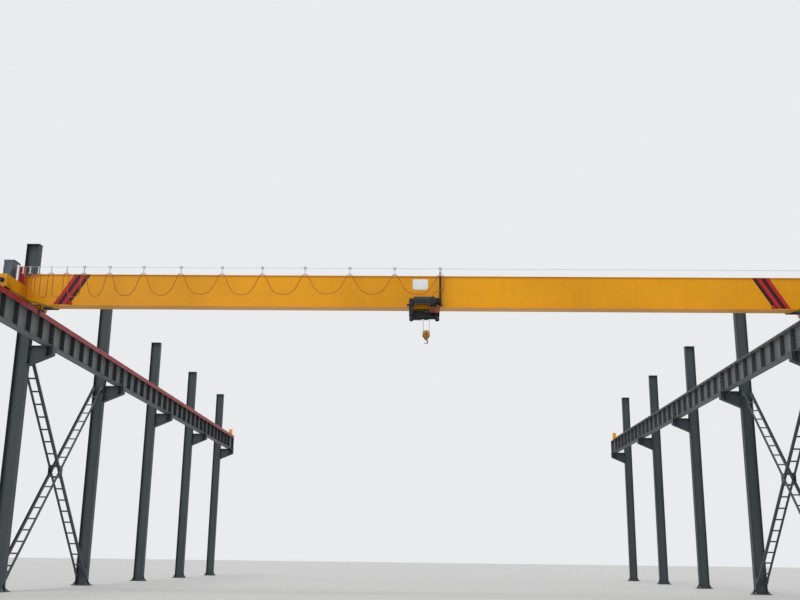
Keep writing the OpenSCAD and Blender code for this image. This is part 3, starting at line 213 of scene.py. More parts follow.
def start_rod(name, start, end, radius, sides=24):
    clear_selection()
    start, end = Vector(start), Vector(end)
    turn = (end - start).to_track_quat("Z", "Y").to_euler()
    bpy.ops.mesh.primitive_cylinder_add(
        vertices=sides, radius=radius, depth=(end - start).length, location=(start + end) / 2, rotation=turn
    )
    return settle(name)


def edit(piece):
    pick(piece)
    bpy.ops.object.mode_set(mode="EDIT")
    bpy.ops.mesh.select_mode(type="FACE")
    bpy.ops.mesh.select_all(action="DESELECT")


def leave():
    bpy.ops.object.mode_set(mode="OBJECT")


def toward(direction):
    """Tests whether a face looks along a direction."""
    direction = Vector(direction).normalized()
    return lambda centre, normal: normal.dot(direction) > 0.9


def middle(direction, point=(0, 0, 0)):
    """Tests whether a face looks along a direction, with its centre on the line through a point that way."""
    direction, point = Vector(direction), Vector(point)

    def test(centre, normal):
        return normal.dot(direction) > 0.9 and (centre - point).cross(direction).length < 0.01

    return test


def choose_faces(piece, faces):
    """Selects the faces that look along a direction, or those that pass a test."""
    test = faces if callable(faces) else toward(faces)
    mesh = bmesh.from_edit_mesh(piece.data)
    for face in mesh.faces:
        face.select_set(bool(test(face.calc_center_median(), face.normal)))
    mesh.select_flush_mode()
    bmesh.update_edit_mesh(piece.data)


def choose_edges(piece, test):
    bpy.ops.mesh.select_mode(type="EDGE")
    mesh = bmesh.from_edit_mesh(piece.data)
    for edge in mesh.edges:
        one, two = edge.verts[0].co, edge.verts[1].co
        edge.select_set(bool(test((one + two) / 2, (two - one).normalized())))
    mesh.select_flush_mode()
    bmesh.update_edit_mesh(piece.data)


def step_face(piece, faces, inset, rise):
    """Insets the chosen faces and raises or sinks what is left of them with an upright wall."""
    edit(piece)
    choose_faces(piece, faces)
    bpy.ops.mesh.inset(thickness=inset, depth=0)
    bpy.ops.mesh.inset(thickness=STEP_LEAN, depth=rise)
    leave()
    return piece


def slope_face(piece, faces, inset, rise, singly=False):
    """Insets the chosen faces and raises or sinks them with a sloping wall."""
    edit(piece)
    choose_faces(piece, faces)
    bpy.ops.mesh.inset(thickness=inset, depth=rise, use_individual=singly)
    leave()
    return piece


def pull_face(piece, faces, move, inset=0.0, size=(1, 1, 1)):
    """Extrudes the chosen faces, inset first if asked, moves them and sizes them."""
    edit(piece)
    choose_faces(piece, faces)
    if inset:
        bpy.ops.mesh.inset(thickness=inset, depth=0.0)
    bpy.ops.mesh.extrude_region_move(TRANSFORM_OT_translate={"value": move})
    bpy.ops.transform.resize(value=size)
    leave()
    return piece


def bevel_edges(piece, test, width, segments=2):
    edit(piece)
    choose_edges(piece, test)
    bpy.ops.mesh.bevel(offset=width, segments=segments, affect="EDGES")
    leave()
    return piece


def smooth(piece, degrees=SMOOTH_DEGREES):
    bpy.ops.object.shade_smooth_by_angle(angle=math.radians(degrees))
    return piece


def soften(piece, width, segments=2):
    pick(piece)
    modifier = piece.modifiers.new("Eased edges", "BEVEL")
    modifier.width = width
    modifier.segments = segments
    modifier.limit_method = "ANGLE"
    modifier.angle_limit = math.radians(EASED_DEGREES)
    bpy.ops.object.modifier_apply(modifier=modifier.name)
    return smooth(piece)


def shape(piece, *slopes, ease=0.0, segments=2):
    """Slopes a piece's faces, each given with its inset and rise, and then eases its edges."""
    for faces, inset, rise in slopes:
        slope_face(piece, faces, inset, rise)
    return soften(piece, ease, segments) if ease else piece


def join(name, pieces):
    pick(*pieces)
    if len(pieces) > 1:
        bpy.ops.object.join()
    piece = bpy.context.object
    piece.name = piece.data.name = name
    return piece


# Places, as matrices


def at(x, y, z):
    return Matrix.Translation((x, y, z))


def spin(turn, axis):
    return Matrix.Rotation(turn, 4, axis)


def flip(side, axis):
    """Mirrors across an axis for side -1, and changes nothing for side 1."""
    return Matrix.Scale(side, 4, axis)


def facing(point, normal, turn=0.0):
    """The place of a fastener that stands on a surface at a point and looks along its normal."""
    return at(*point) @ Vector(normal).to_track_quat("Z", "Y").to_matrix().to_4x4() @ spin(turn, "Z")


def both_faces(x, y, off, z):
    """Places on the front and the back of a piece, each looking outwards."""
    return [facing((x, y + side * off, z), (0, side, 0)) for side in SIDES]


def around(centre, axis, radius, count, first=0.0):
    """Places in a circle, each looking along the circle's axis."""
    centre, axis = Vector(centre), Vector(axis).normalized()
    side = axis.orthogonal().normalized()
    other = axis.cross(side)
    places = []
    for index in range(count):
        turn = first + 2 * math.pi * index / count
        places.append(facing(centre + radius * (math.cos(turn) * side + math.sin(turn) * other), axis, turn))
    return places


def grid(xs, ys, zs, normal):
    """Places at every crossing of some x, y and z, where one value may stand alone, along the same normal."""
    rows = [row if isinstance(row, (tuple, list)) else (row,) for row in (xs, ys, zs)]
    return [facing(point, normal) for point in product(*rows)]


def within(places, parts):
    """The place of every part in every outer place."""
    return [place @ part for place in places for part in parts]


def mirrored(places):
    """Each place and its mirror image across the runway's middle."""
    return [place for original in places for place in (original, flip(-1, RIGHT) @ original)]


def bridge_corners():
    """The bridge's four quarters, each the mirror image of the next."""
    return [at(0, BRIDGE_Y, 0) @ flip(x, RIGHT) @ flip(y, BACK) for x in SIDES for y in SIDES]


# Copying, finishing and fastening


def discard(piece):
    mesh = piece.data
    bpy.data.objects.remove(piece)
    bpy.data.meshes.remove(mesh)


def copy_to(master, place):
    """A copy of a modelled piece with its own mesh, moved to a place."""
    copy = master.copy()
    copy.data = master.data.copy()
    copy.data.transform(place)
    if place.determinant() < 0:
        copy.data.flip_normals()
    bpy.context.collection.objects.link(copy)
    return copy


def scatter(name, master, places):
    """Copies one modelled piece to many places, joined as one piece, and discards the first."""
    copies = [copy_to(master, place) for place in places]
    discard(master)
    return join(name, copies)


def dress(piece, finish, *bodies, **ends):
    """Gives a piece its finish and slot and puts it on its body; given two bodies and ends, it only bakes the
    piece's place into its mesh and puts it on neither body, and the ends' points are not used.
    """
    piece.data.materials.clear()
    piece.data.materials.append(FINISHES[finish])
    if ends:
        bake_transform(piece)
    else:
        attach(piece, *bodies)
    return piece


def put(name, master, places, finish, body):
    """Copies a modelled piece to its places on a body."""
    return dress(scatter(name, master, places), finish, body)


def hex_bolt(name, radius, height, stud=0.0, washer=True):
    """A hexagonal head or nut with its chamfer, on a chamfered washer, with the screw's end above it."""
    seat = radius * 0.28 if washer else 0.0
    head = start_rod(name, (0, 0, seat), (0, 0, seat + height), radius, 6)
    slope_face(head, UP, radius * 0.14, height * 0.12)
    if stud:
        step_face(head, UP, radius * 0.22, stud)
    if not washer:
        return head
    ring = start_rod(name + "_washer", (0, 0, 0), (0, 0, seat), radius * 1.35, 12)
    return join(name, [head, slope_face(ring, UP, radius * 0.12, radius * 0.04)])


def fasten(name, radius, height, places, body, stud=0.0, finish="bolt", washer=True):
    """Puts the same bolt or nut at many places of one body."""
    return put(name, hex_bolt(name + "_one", radius, height, stud, washer), places, finish, body)


def weld_bead(name, start, end, leg):
    """A fillet weld's bead between two points, pinched at its ends."""
    along = (Vector(end) - Vector(start)).normalized()
    pinch = (leg * 0.4, leg * 0.3)
    return shape(start_rod(name, start, end, leg, 6), (along, *pinch), (-along, *pinch))


def weld(name, lines, leg, places, finish, body):
    """Fillet welds along lines, laid once and copied to every place."""
    beads = [weld_bead("%s_%d" % (name, index), start, end, leg) for index, (start, end) in enumerate(lines)]
    return put(name, join(name + "_one", beads), places, finish, body)


def along_y(x, half, z, y=0.0):
    """A weld's line along Y, with half of it on each side of y."""
    return ((x, y - half, z), (x, y + half, z))


def face_outward(piece):
    """Turns every face of a closed piece outwards."""
    edit(piece)
    bpy.ops.mesh.select_all(action="SELECT")
    bpy.ops.mesh.normals_make_consistent(inside=False)
    leave()
    return piece


# Surface effects that several finishes share, as shader node groups


def feed(tree, socket, value):
    """Links a socket to another node's output, or sets its plain value."""
    if isinstance(value, bpy.types.NodeSocket):
        tree.links.new(value, socket)
    elif socket.type == "RGBA":
        socket.default_value = (*value[:3], 1)
    else:
        socket.default_value = value


def add(tree, kind, inputs=None, **settings):
    """A new node with its settings and its inputs, each a value or another node's output."""
    node = tree.nodes.new(kind)
    for key, value in settings.items():
        setattr(node, key, value)
    for key, value in (inputs or {}).items():
        feed(tree, node.inputs[key], value)
    return node


def maths(tree, operation, *values):
    return add(tree, "ShaderNodeMath", dict(enumerate(values)), operation=operation).outputs[0]


def times(tree, *values):
    """The product of any number of values."""
    return reduce(lambda one, two: maths(tree, "MULTIPLY", one, two), values)


def apart(tree, value, middle):
    """How far a value is from a middle one."""
    return maths(tree, "ABSOLUTE", maths(tree, "SUBTRACT", value, middle))


def ramp(tree, value, low, high, to_low=0.0, to_high=1.0):
    """A value taken from one range to another and held inside it."""
    inputs = {"Value": value, "From Min": low, "From Max": high, "To Min": to_low, "To Max": to_high}
    return add(tree, "ShaderNodeMapRange", inputs, clamp=True).outputs[0]


def blend_colour(tree, factor, one, two):
    inputs = {0: factor, 6: one, 7: two}
    return add(tree, "ShaderNodeMix", inputs, data_type="RGBA", blend_type="MIX").outputs[2]


def brighten(tree, colour, value):
    return add(tree, "ShaderNodeHueSaturation", {"Color": colour, "Value": value}).outputs[0]


def object_place(tree):
    return add(tree, "ShaderNodeTexCoord").outputs["Object"]


def axes_of(tree, vector):
    return add(tree, "ShaderNodeSeparateXYZ", {0: vector}).outputs


def place_axes(tree):
    return axes_of(tree, object_place(tree))


def normal_axes(tree):
    return axes_of(tree, add(tree, "ShaderNodeNewGeometry").outputs["Normal"])


def noise(tree, place, scale, detail, roughness=0.5):
    inputs = {"Vector": place, "Scale": scale, "Detail": detail, "Roughness": roughness}
    return add(tree, "ShaderNodeTexNoise", inputs).outputs[0]


def new_effect(name, takes, gives):
    """A node group with its inputs and outputs, each input with its default."""
    tree = bpy.data.node_groups.new(name, "ShaderNodeTree")
    for label, default in takes.items():
        kind = "Color" if isinstance(default, tuple) else "Float"
        socket = tree.interface.new_socket(name=label, in_out="INPUT", socket_type="NodeSocket" + kind)
        socket.default_value = (*default, 1) if kind == "Color" else default
    for label in gives:
        kind = "Color" if label == "Colour" else "Float"
        tree.interface.new_socket(name=label, in_out="OUTPUT", socket_type="NodeSocket" + kind)
    source = tree.nodes.new("NodeGroupInput").outputs
    result = tree.nodes.new("NodeGroupOutput").inputs
    return tree, source, result


def new_film(name, amount, tint, **more):
    """An effect that lays a tint over a colour, and the function that lays it by the product of its masks."""
    takes = {"Colour": (0.5, 0.5, 0.5), "Amount": amount, "Tint": tint, **more}
    tree, source, result = new_effect(name, takes, ("Colour", "Mask"))

    def lay(*masks):
        mask = times(tree, *masks, source["Amount"])
        tree.links.new(blend_colour(tree, mask, source["Colour"], source["Tint"]), result["Colour"])
        tree.links.new(mask, result["Mask"])
        return tree

    return tree, source, lay


def effect_paint_tone():
    """Paint that differs a little from patch to patch, with a finer mottle in its gloss."""
    takes = {"Colour": (0.5, 0.5, 0.5), "Fade": 0.1, "Patch": 1.5, "Gloss": 0.4}
    tree, source, result = new_effect("Paint tone", takes, ("Colour", "Roughness"))
    place = object_place(tree)
    scale = maths(tree, "DIVIDE", 1.0, source["Patch"])
    swing = ramp(tree, noise(tree, place, scale, 3.0, 0.55), 0.3, 0.7, -1.0, 1.0)
    small = ramp(tree, noise(tree, place, times(tree, scale, 14.0), 4.0), 0.25, 0.75, -0.4, 0.4)
    value = maths(tree, "MULTIPLY_ADD", maths(tree, "ADD", swing, small), source["Fade"], 1.0)
    tree.links.new(brighten(tree, source["Colour"], value), result["Colour"])
    rough = maths(tree, "MULTIPLY_ADD", small, 0.22, source["Gloss"])
    tree.links.new(maths(tree, "MAXIMUM", rough, 0.05), result["Roughness"])
    return tree


def effect_settled_dust():
    """Dust that lies on faces that look up, thicker where the noise lets it gather."""
    tree, _, lay = new_film("Settled dust", 0.3, srgb(150, 142, 130))
    lying = ramp(tree, normal_axes(tree)[2], 0.35, 0.95)
    return lay(lying, ramp(tree, noise(tree, object_place(tree), 3.0, 6.0, 0.65), 0.3, 0.65, 0.45, 1.0))


def effect_grime_runs():
    """Dirt that has run down upright faces in thin streaks, more in some places than in others."""
    tree, _, lay = new_film("Grime runs", 0.2, srgb(52, 44, 36))
    place = object_place(tree)
    stretched = add(tree, "ShaderNodeMapping", {"Vector": place, "Scale": (9.0, 9.0, 0.55)}).outputs[0]
    streaks = ramp(tree, noise(tree, stretched, 1.0, 5.0, 0.7), 0.52, 0.78)
    clouds = ramp(tree, noise(tree, place, 0.7, 2.0), 0.35, 0.65)
    upright = ramp(tree, maths(tree, "ABSOLUTE", normal_axes(tree)[2]), 0.3, 0.7, 1.0, 0.0)
    return lay(streaks, clouds, upright)


def effect_rubbed_edges():
    """A mask of edges where the paint has rubbed through, broken up by noise."""
    tree, source, result = new_effect("Rubbed edges", {"Amount": 0.3, "Width": 0.006}, ("Mask",))
    rounded = add(tree, "ShaderNodeBevel", {"Radius": source["Width"]}, samples=4).outputs[0]
    flat = add(tree, "ShaderNodeNewGeometry").outputs["Normal"]
    agree = add(tree, "ShaderNodeVectorMath", {0: rounded, 1: flat}, operation="DOT_PRODUCT").outputs["Value"]
    broken = ramp(tree, noise(tree, object_place(tree), 22.0, 6.0, 0.7), 0.42, 0.60)
    tree.links.new(times(tree, ramp(tree, agree, 0.995, 0.90), broken, source["Amount"]), result["Mask"])
    return tree


def effect_grain():
    """A height for sprayed paint's peel, cast skin or rolled steel, by its scale."""
    tree, source, result = new_effect("Surface grain", {"Scale": 60.0, "Pitting": 0.3}, ("Height",))
    place = object_place(tree)
    peel = noise(tree, place, source["Scale"], 3.0)
    cells = add(tree, "ShaderNodeTexVoronoi", {"Vector": place, "Scale": times(tree, source["Scale"], 1.7)})
    pits = times(tree, ramp(tree, cells.outputs["Distance"], 0.0, 0.35, 1.0, 0.0), source["Pitting"])
    tree.links.new(maths(tree, "SUBTRACT", peel, pits), result["Height"])
    return tree


def effect_rust_bloom():
    """Rust that blooms in soft spots, for bare and galvanised steel."""
    tree, source, lay = new_film("Rust bloom", 0.3, srgb(112, 66, 38), Scale=3.0)
    return lay(ramp(tree, noise(tree, object_place(tree), source["Scale"], 7.0, 0.7), 0.48, 0.70))


def effect_hazard_bands():
    """Leaning bands across an upright face: a mask of where they lie, and which of them are dark."""
    takes = {"Across": 0.0, "Height": 0.0, "Start": 0.0, "Band": 0.1, "Count": 4.0, "Lean": 0.6}
    tree, source, result = new_effect("Hazard bands", takes, ("Mask", "Dark"))
    ragged = maths(tree, "SUBTRACT", noise(tree, object_place(tree), 45.0, 2.0), 0.5)
    across = maths(tree, "MULTIPLY_ADD", ragged, 0.008, source["Across"])
    slanted = maths(tree, "MULTIPLY_ADD", source["Height"], source["Lean"], across)
    count = maths(tree, "DIVIDE", maths(tree, "SUBTRACT", slanted, source["Start"]), source["Band"])
    begun, over = maths(tree, "GREATER_THAN", count, 0.0), maths(tree, "LESS_THAN", count, source["Count"])
    dark = maths(tree, "LESS_THAN", maths(tree, "MODULO", maths(tree, "FLOOR", count), 2.0), 0.5)
    tree.links.new(times(tree, begun, over), result["Mask"])
    tree.links.new(dark, result["Dark"])
    return tree


EFFECTS = {}


def build_effects():
    EFFECTS.update({
        "tone": effect_paint_tone(), "dust": effect_settled_dust(), "runs": effect_grime_runs(),
        "edges": effect_rubbed_edges(), "grain": effect_grain(), "rust": effect_rust_bloom(),
        "bands": effect_hazard_bands(),
    })


def effect(tree, label, inputs):
    return add(tree, "ShaderNodeGroup", inputs, node_tree=EFFECTS[label]).outputs


# Finishes of the crane's own parts


def new_finish(name, colour, fade, patch, gloss):
    """A material with its toned colour and roughness, which the caller goes on with."""
    material = bpy.data.materials.new(name)
    material.use_nodes = True
    tree = material.node_tree
    tone = effect(tree, "tone", {"Colour": colour, "Fade": fade, "Patch": patch, "Gloss": gloss})
    return material, tree, tone["Colour"], tone["Roughness"]


def wire(material, sockets, grain=None, depth=0.002):
    """Feeds the shader's sockets, and its normal from a grain of scale, pitting and strength."""
    tree = material.node_tree
    if grain:
        height = effect(tree, "grain", {"Scale": grain[0], "Pitting": grain[1]})["Height"]
        bump = add(tree, "ShaderNodeBump", {"Height": height, "Strength": grain[2], "Distance": depth})
        sockets["Normal"] = bump.outputs[0]
    shader = tree.nodes["Principled BSDF"]
    for label, value in sockets.items():
        feed(tree, shader.inputs[label], value)
    return material


def paint(name, colour, gloss, patch, dust, runs, wear=0.0, grain=(70.0, 0.15, 0.08), pattern=None):
    """Sprayed machine paint with fade, dust, runs of grime and, where it is handled, rubbed edges."""
    state = weather()
    material, tree, surface, rough = new_finish(name, colour, state.fade, patch, gloss)
    if pattern:
        surface = pattern(tree, surface)
    grimed = effect(tree, "runs", {"Colour": surface, "Amount": state.runs * runs})
    dusted = effect(tree, "dust", {"Colour": grimed["Colour"], "Amount": state.dust * dust})
    dull = maths(tree, "ADD", grimed["Mask"], dusted["Mask"])
    sockets = {
        "Base Color": dusted["Colour"], "Roughness": maths(tree, "MULTIPLY_ADD", dull, 0.4, rough),
        "Specular IOR Level": 0.25,
    }
    if wear:
        rubbed = effect(tree, "edges", {"Amount": state.wear * wear, "Width": 0.005})["Mask"]
        sockets["Base Color"] = blend_colour(tree, rubbed, dusted["Colour"], srgb(128, 124, 120))
        sockets["Metallic"] = rubbed
    return wire(material, sockets, grain)


def steel(name, colour, gloss=0.45, rust=0.5, metal=0.9, polish=None, grain=(40.0, 0.4, 0.15), dust=0.6):
    """Bare, rolled or galvanised steel with rust where nothing rubs it and a polish where something does."""
    state = weather()
    material, tree, surface, rough = new_finish(name, colour, state.fade * 1.4, 0.5, gloss)
    rusted = effect(tree, "rust", {"Colour": surface, "Amount": rust, "Scale": 4.0})
    dusted = effect(tree, "dust", {"Colour": rusted["Colour"], "Amount": state.dust * dust})
    surface = dusted["Colour"]
    dull = maths(tree, "ADD", rusted["Mask"], dusted["Mask"])
    rough = maths(tree, "MULTIPLY_ADD", dull, 0.4, rough)
    metallic = times(tree, maths(tree, "SUBTRACT", 1.0, dull), metal)
    if polish:
        mask = polish(tree)
        surface = blend_colour(tree, mask, surface, srgb(176, 174, 170))
        rough = times(tree, rough, ramp(tree, mask, 0.0, 1.0, 1.0, 0.5))
        metallic = maths(tree, "MAXIMUM", metallic, mask)
    return wire(material, {"Base Color": surface, "Roughness": rough, "Metallic": metallic}, grain)


def jacket(name, colour, gloss=0.5, dust=0.7):
    """Rubber or plastic: a soft even skin with a little bloom on top."""
    state = weather()
    material, tree, surface, rough = new_finish(name, colour, state.fade * 1.5, 0.25, gloss)
    dusted = effect(tree, "dust", {"Colour": surface, "Amount": state.dust * dust})
    rough = maths(tree, "MULTIPLY_ADD", dusted["Mask"], 0.3, rough)
    return wire(material, {"Base Color": dusted["Colour"], "Roughness": rough}, (260.0, 0.1, 0.12), 0.001)


def girder_stripes(tree, surface):
    """Red and dark bands near both ends of the girder, on its upright faces above the trolley's lip."""
    x, _, z = place_axes(tree)
    bands = effect(tree, "bands", {
        "Across": maths(tree, "ABSOLUTE", x), "Height": maths(tree, "SUBTRACT", z, LIP_TOP + 0.02),
        "Start": 9.85, "Band": sizes().stripe_band, "Count": 4.0, "Lean": 0.61,
    })
    upright = maths(tree, "GREATER_THAN", maths(tree, "ABSOLUTE", normal_axes(tree)[1]), 0.7)
    on_web = times(tree, upright, maths(tree, "GREATER_THAN", z, LIP_TOP + 0.001))
    ink = blend_colour(tree, bands["Dark"], colours().red, colours().stripe_dark)
    return blend_colour(tree, times(tree, bands["Mask"], on_web), surface, ink)


def block_stripes(tree, surface):
    """Black bands across the lower half of the hook block's cheeks."""
    x, _, z = place_axes(tree)
    bands = effect(tree, "bands", {
        "Across": maths(tree, "SUBTRACT", x, HOOK_X), "Height": maths(tree, "SUBTRACT", z, SHEAVE_Z),
        "Start": -0.40, "Band": 0.04, "Count": 20.0, "Lean": 0.9,
    })
    mask = times(tree, bands["Mask"], bands["Dark"], maths(tree, "LESS_THAN", z, SHEAVE_Z - 0.045))
    return blend_colour(tree, mask, surface, srgb(34, 33, 34))


def off_rail(tree, x):
    """How far a place is from the middle of the nearer rail, across it."""
    return apart(tree, maths(tree, "ABSOLUTE", x), RAIL_X)


def beam_panels_painted_light(tree, surface):
    """Webs made lighter, partly a paler primer and partly painted light from the windows, and painted shade
    on the faces that look along Y of the plates that stand across the runway beams.
    """
    on_web = maths(tree, "LESS_THAN", off_rail(tree, place_axes(tree)[0]), 0.02)
    on_plate = maths(tree, "GREATER_THAN", maths(tree, "ABSOLUTE", normal_axes(tree)[1]), 0.7)
    # Painted light and shade: the webs are made 1.6 times as bright, partly paler primer and partly painted
    # window light, and faces that look along Y are made 0.42 as bright as painted shade
    web_paler_and_lit = maths(tree, "MULTIPLY_ADD", on_web, 0.6, 1.0)
    plate_painted_shade = maths(tree, "MULTIPLY_ADD", on_plate, -0.58, 1.0)
    return brighten(tree, surface, times(tree, web_paler_and_lit, plate_painted_shade))


def rail_polish(tree):
    """The bright band that the wheels keep on top of the rail."""
    x, _, z = place_axes(tree)
    band = ramp(tree, off_rail(tree, x), 0.022, 0.030, 1.0, 0.0)
    return times(tree, band, maths(tree, "GREATER_THAN", z, RAIL_TOP - 0.003))


def wheel_polish(tree):
    """The bright tread between a travel wheel's flanges."""
    return ramp(tree, off_rail(tree, place_axes(tree)[0]), 0.030, 0.038, 1.0, 0.0)


def trolley_wheel_polish(tree):
    """The bright tread of a trolley wheel, beside its flange."""
    across = apart(tree, place_axes(tree)[1], BRIDGE_Y)
    return times(tree, ramp(tree, across, 0.222, 0.226, 1.0, 0.0), ramp(tree, across, 0.176, 0.180))


def hook_polish(tree):
    """The bright bowl of the hook, where slings rub it."""
    z = place_axes(tree)[2]
    return times(tree, ramp(tree, z, 6.862, 6.885, 1.0, 0.0), maths(tree, "GREATER_THAN", z, 6.850), 0.7)


FINISHES = {}


def build_finishes():
    shade = colours()
    cast, forged = (110.0, 0.2, 0.12), (60.0, 0.5, 0.2)
    bead = {"gloss": 0.5, "patch": 0.3, "dust": 0.6, "runs": 0.8, "grain": (90.0, 0.6, 0.5)}
    FINISHES.update({
        "structure": paint("Structure paint", shade.structure, 0.5, 2.2, 1.0, 0.8),
        # The beam primer carries painted light on its webs and painted shade on the plates' faces that look
        # along Y
        "beam": paint("Beam primer with painted light", shade.beam, 0.6, 1.8, 1.1, 1.2, pattern=beam_panels_painted_light),
        "girder": paint("Girder yellow", shade.crane, 0.34, 2.8, 0.8, 0.7, pattern=girder_stripes),
        "crane": paint("Carriage yellow", shade.crane, 0.36, 1.0, 0.9, 1.0, wear=0.5),
        "red": paint("Signal red paint", shade.red, 0.4, 0.6, 0.8, 0.6, wear=0.4),
        "charcoal": paint("Hoist charcoal", shade.charcoal, 0.45, 0.5, 0.6, 0.5, wear=0.5, grain=cast),
        "motor": paint("Cabinet grey-blue", shade.motor, 0.42, 0.7, 0.8, 0.6, wear=0.3),
        "drive": paint("Drive oxide brown", shade.drive, 0.5, 0.4, 1.0, 0.8, 0.7, (120.0, 0.4, 0.18)),
        "hook_block": paint("Hook block yellow", shade.hook, 0.42, 0.2, 0.8, 1.2, 1.0, pattern=block_stripes),
        "conductor": jacket("Conductor housing", shade.conductor, 0.45, dust=0.3),
        "plate": paint("Sign enamel", shade.plate, 0.25, 0.5, 0.3, 0.6, grain=(40.0, 0.05, 0.03)),
        "zinc": steel("Galvanised steel", shade.zinc, 0.42, 0.10, 0.75),
        "bolt": steel("Zinc-plated bolts", srgb(146, 148, 150), 0.42, 0.25, 0.8),
        "rail": steel("Rail steel", shade.rail, 0.5, 0.55, 0.75, rail_polish),
        "wheel": steel("Wheel steel", shade.rail, 0.45, 0.25, 0.85, wheel_polish),
        "trolley_wheel": steel("Trolley wheel steel", shade.rail, 0.45, 0.2, 0.85, trolley_wheel_polish),
        "drum": steel("Drum steel", srgb(120, 118, 114), 0.36, 0.15, 0.9),
        "sheave": steel("Sheave casting", srgb(86, 84, 84), 0.48, 0.3, 0.7),
        "hook": steel("Forged hook", srgb(66, 64, 64), 0.5, 0.3, 0.6, hook_polish, forged),
        "rope": steel("Greased wire rope", srgb(112, 108, 100), 0.36, 0.1, 0.85, grain=(300.0, 0.1, 0.1)),
        "cable": jacket("Cable jacket", shade.cable, 0.5),
        "rubber": jacket("Black rubber", shade.rubber, 0.62),
        "weld": paint("Weld bead yellow", shade.crane, **bead),
        "weld_grey": paint("Weld bead grey", shade.structure, **{**bead, "gloss": 0.55}),
        "weld_beam": paint("Weld bead primer", shade.beam, **{**bead, "gloss": 0.6}),
        "rail_clip": steel("Clip steel", shade.rail, 0.55, 0.45, 0.6),
        "grille": paint("Fan cowl black", srgb(34, 34, 37), 0.5, 0.3, 1.0, 0.5),
        "brass": steel("Brass fittings", srgb(158, 128, 70), 0.35, 0.0, 0.9, dust=0.4),
    })


# What the solids are finished with; the conductor rail and the cable carriers have rules of their own
NODE_FINISHES = {
    "structure": (
        "columns_left", "columns_right", "corbels_left", "corbels_right", "bracing_left", "bracing_right",
    ),
    "beam": ("runway_beam_left", "runway_beam_right"), "rail": ("rail_left", "rail_right"),
    "crane": ("runway_end_stops", "end_carriage_left", "end_carriage_right"), "girder": ("girder",),
    "plate": ("sign_plate",), "red": ("trolley_stops", "junction_box"), "rubber": ("carriage_buffers",),
    "motor": ("travel_drive_left", "travel_drive_right", "control_cabinet"), "zinc": ("festoon_track",),
    "cable": ("festoon_cable",), "wheel": ("wheels_near", "wheels_far"), "drum": ("rope_drum",),
    "charcoal": (
        "current_collector", "hoist_frame", "drum_cover", "hoist_gearbox", "hoist_motor", "control_box",
        "reeving_head", "tow_arm",
    ),
    "drive": ("trolley_drive",), "trolley_wheel": ("trolley_wheels_left", "trolley_wheels_right"),
    "rope": ("rope_falls",), "hook_block": ("hook_block",), "sheave": ("hook_sheave",), "hook": ("hook",),
}


def is_reddish(colour):
    return colour[0] > 2 * colour[1]


class CRANE_OT_finishes(bpy.types.Operator):
    """Gives every solid of the crane its paint, steel or rubber"""

    bl_idname = "crane.finishes"
    bl_label = "Finish the solids"

    def execute(self, context):
        build_effects()
        build_finishes()
        finish_of = {name: finish for finish, names in NODE_FINISHES.items() for name in names}
        for name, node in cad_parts.items():
            if name == "conductor_rail":
                for slot in node.material_slots:
                    shader = slot.material.node_tree.nodes.get("Principled BSDF")
                    bars = is_reddish(shader.inputs["Base Color"].default_value)
                    slot.material = FINISHES["conductor" if bars else "zinc"]
                continue
            finish = FINISHES["zinc" if name.startswith("cable_carrier") else finish_of[name]]
            if not node.material_slots:
                node.data.materials.append(finish)
            for slot in node.material_slots:
                slot.material = finish
        return {"FINISHED"}


# Stage

PHOTO_WIDTH = 800
FOCAL_PIXELS = 981
SENSOR_WIDTH = 36
CAMERA_PLACE = (0.214, -39.705, 1.068)
CAMERA_DEGREES = (-1.566, 14.758, 0.738)


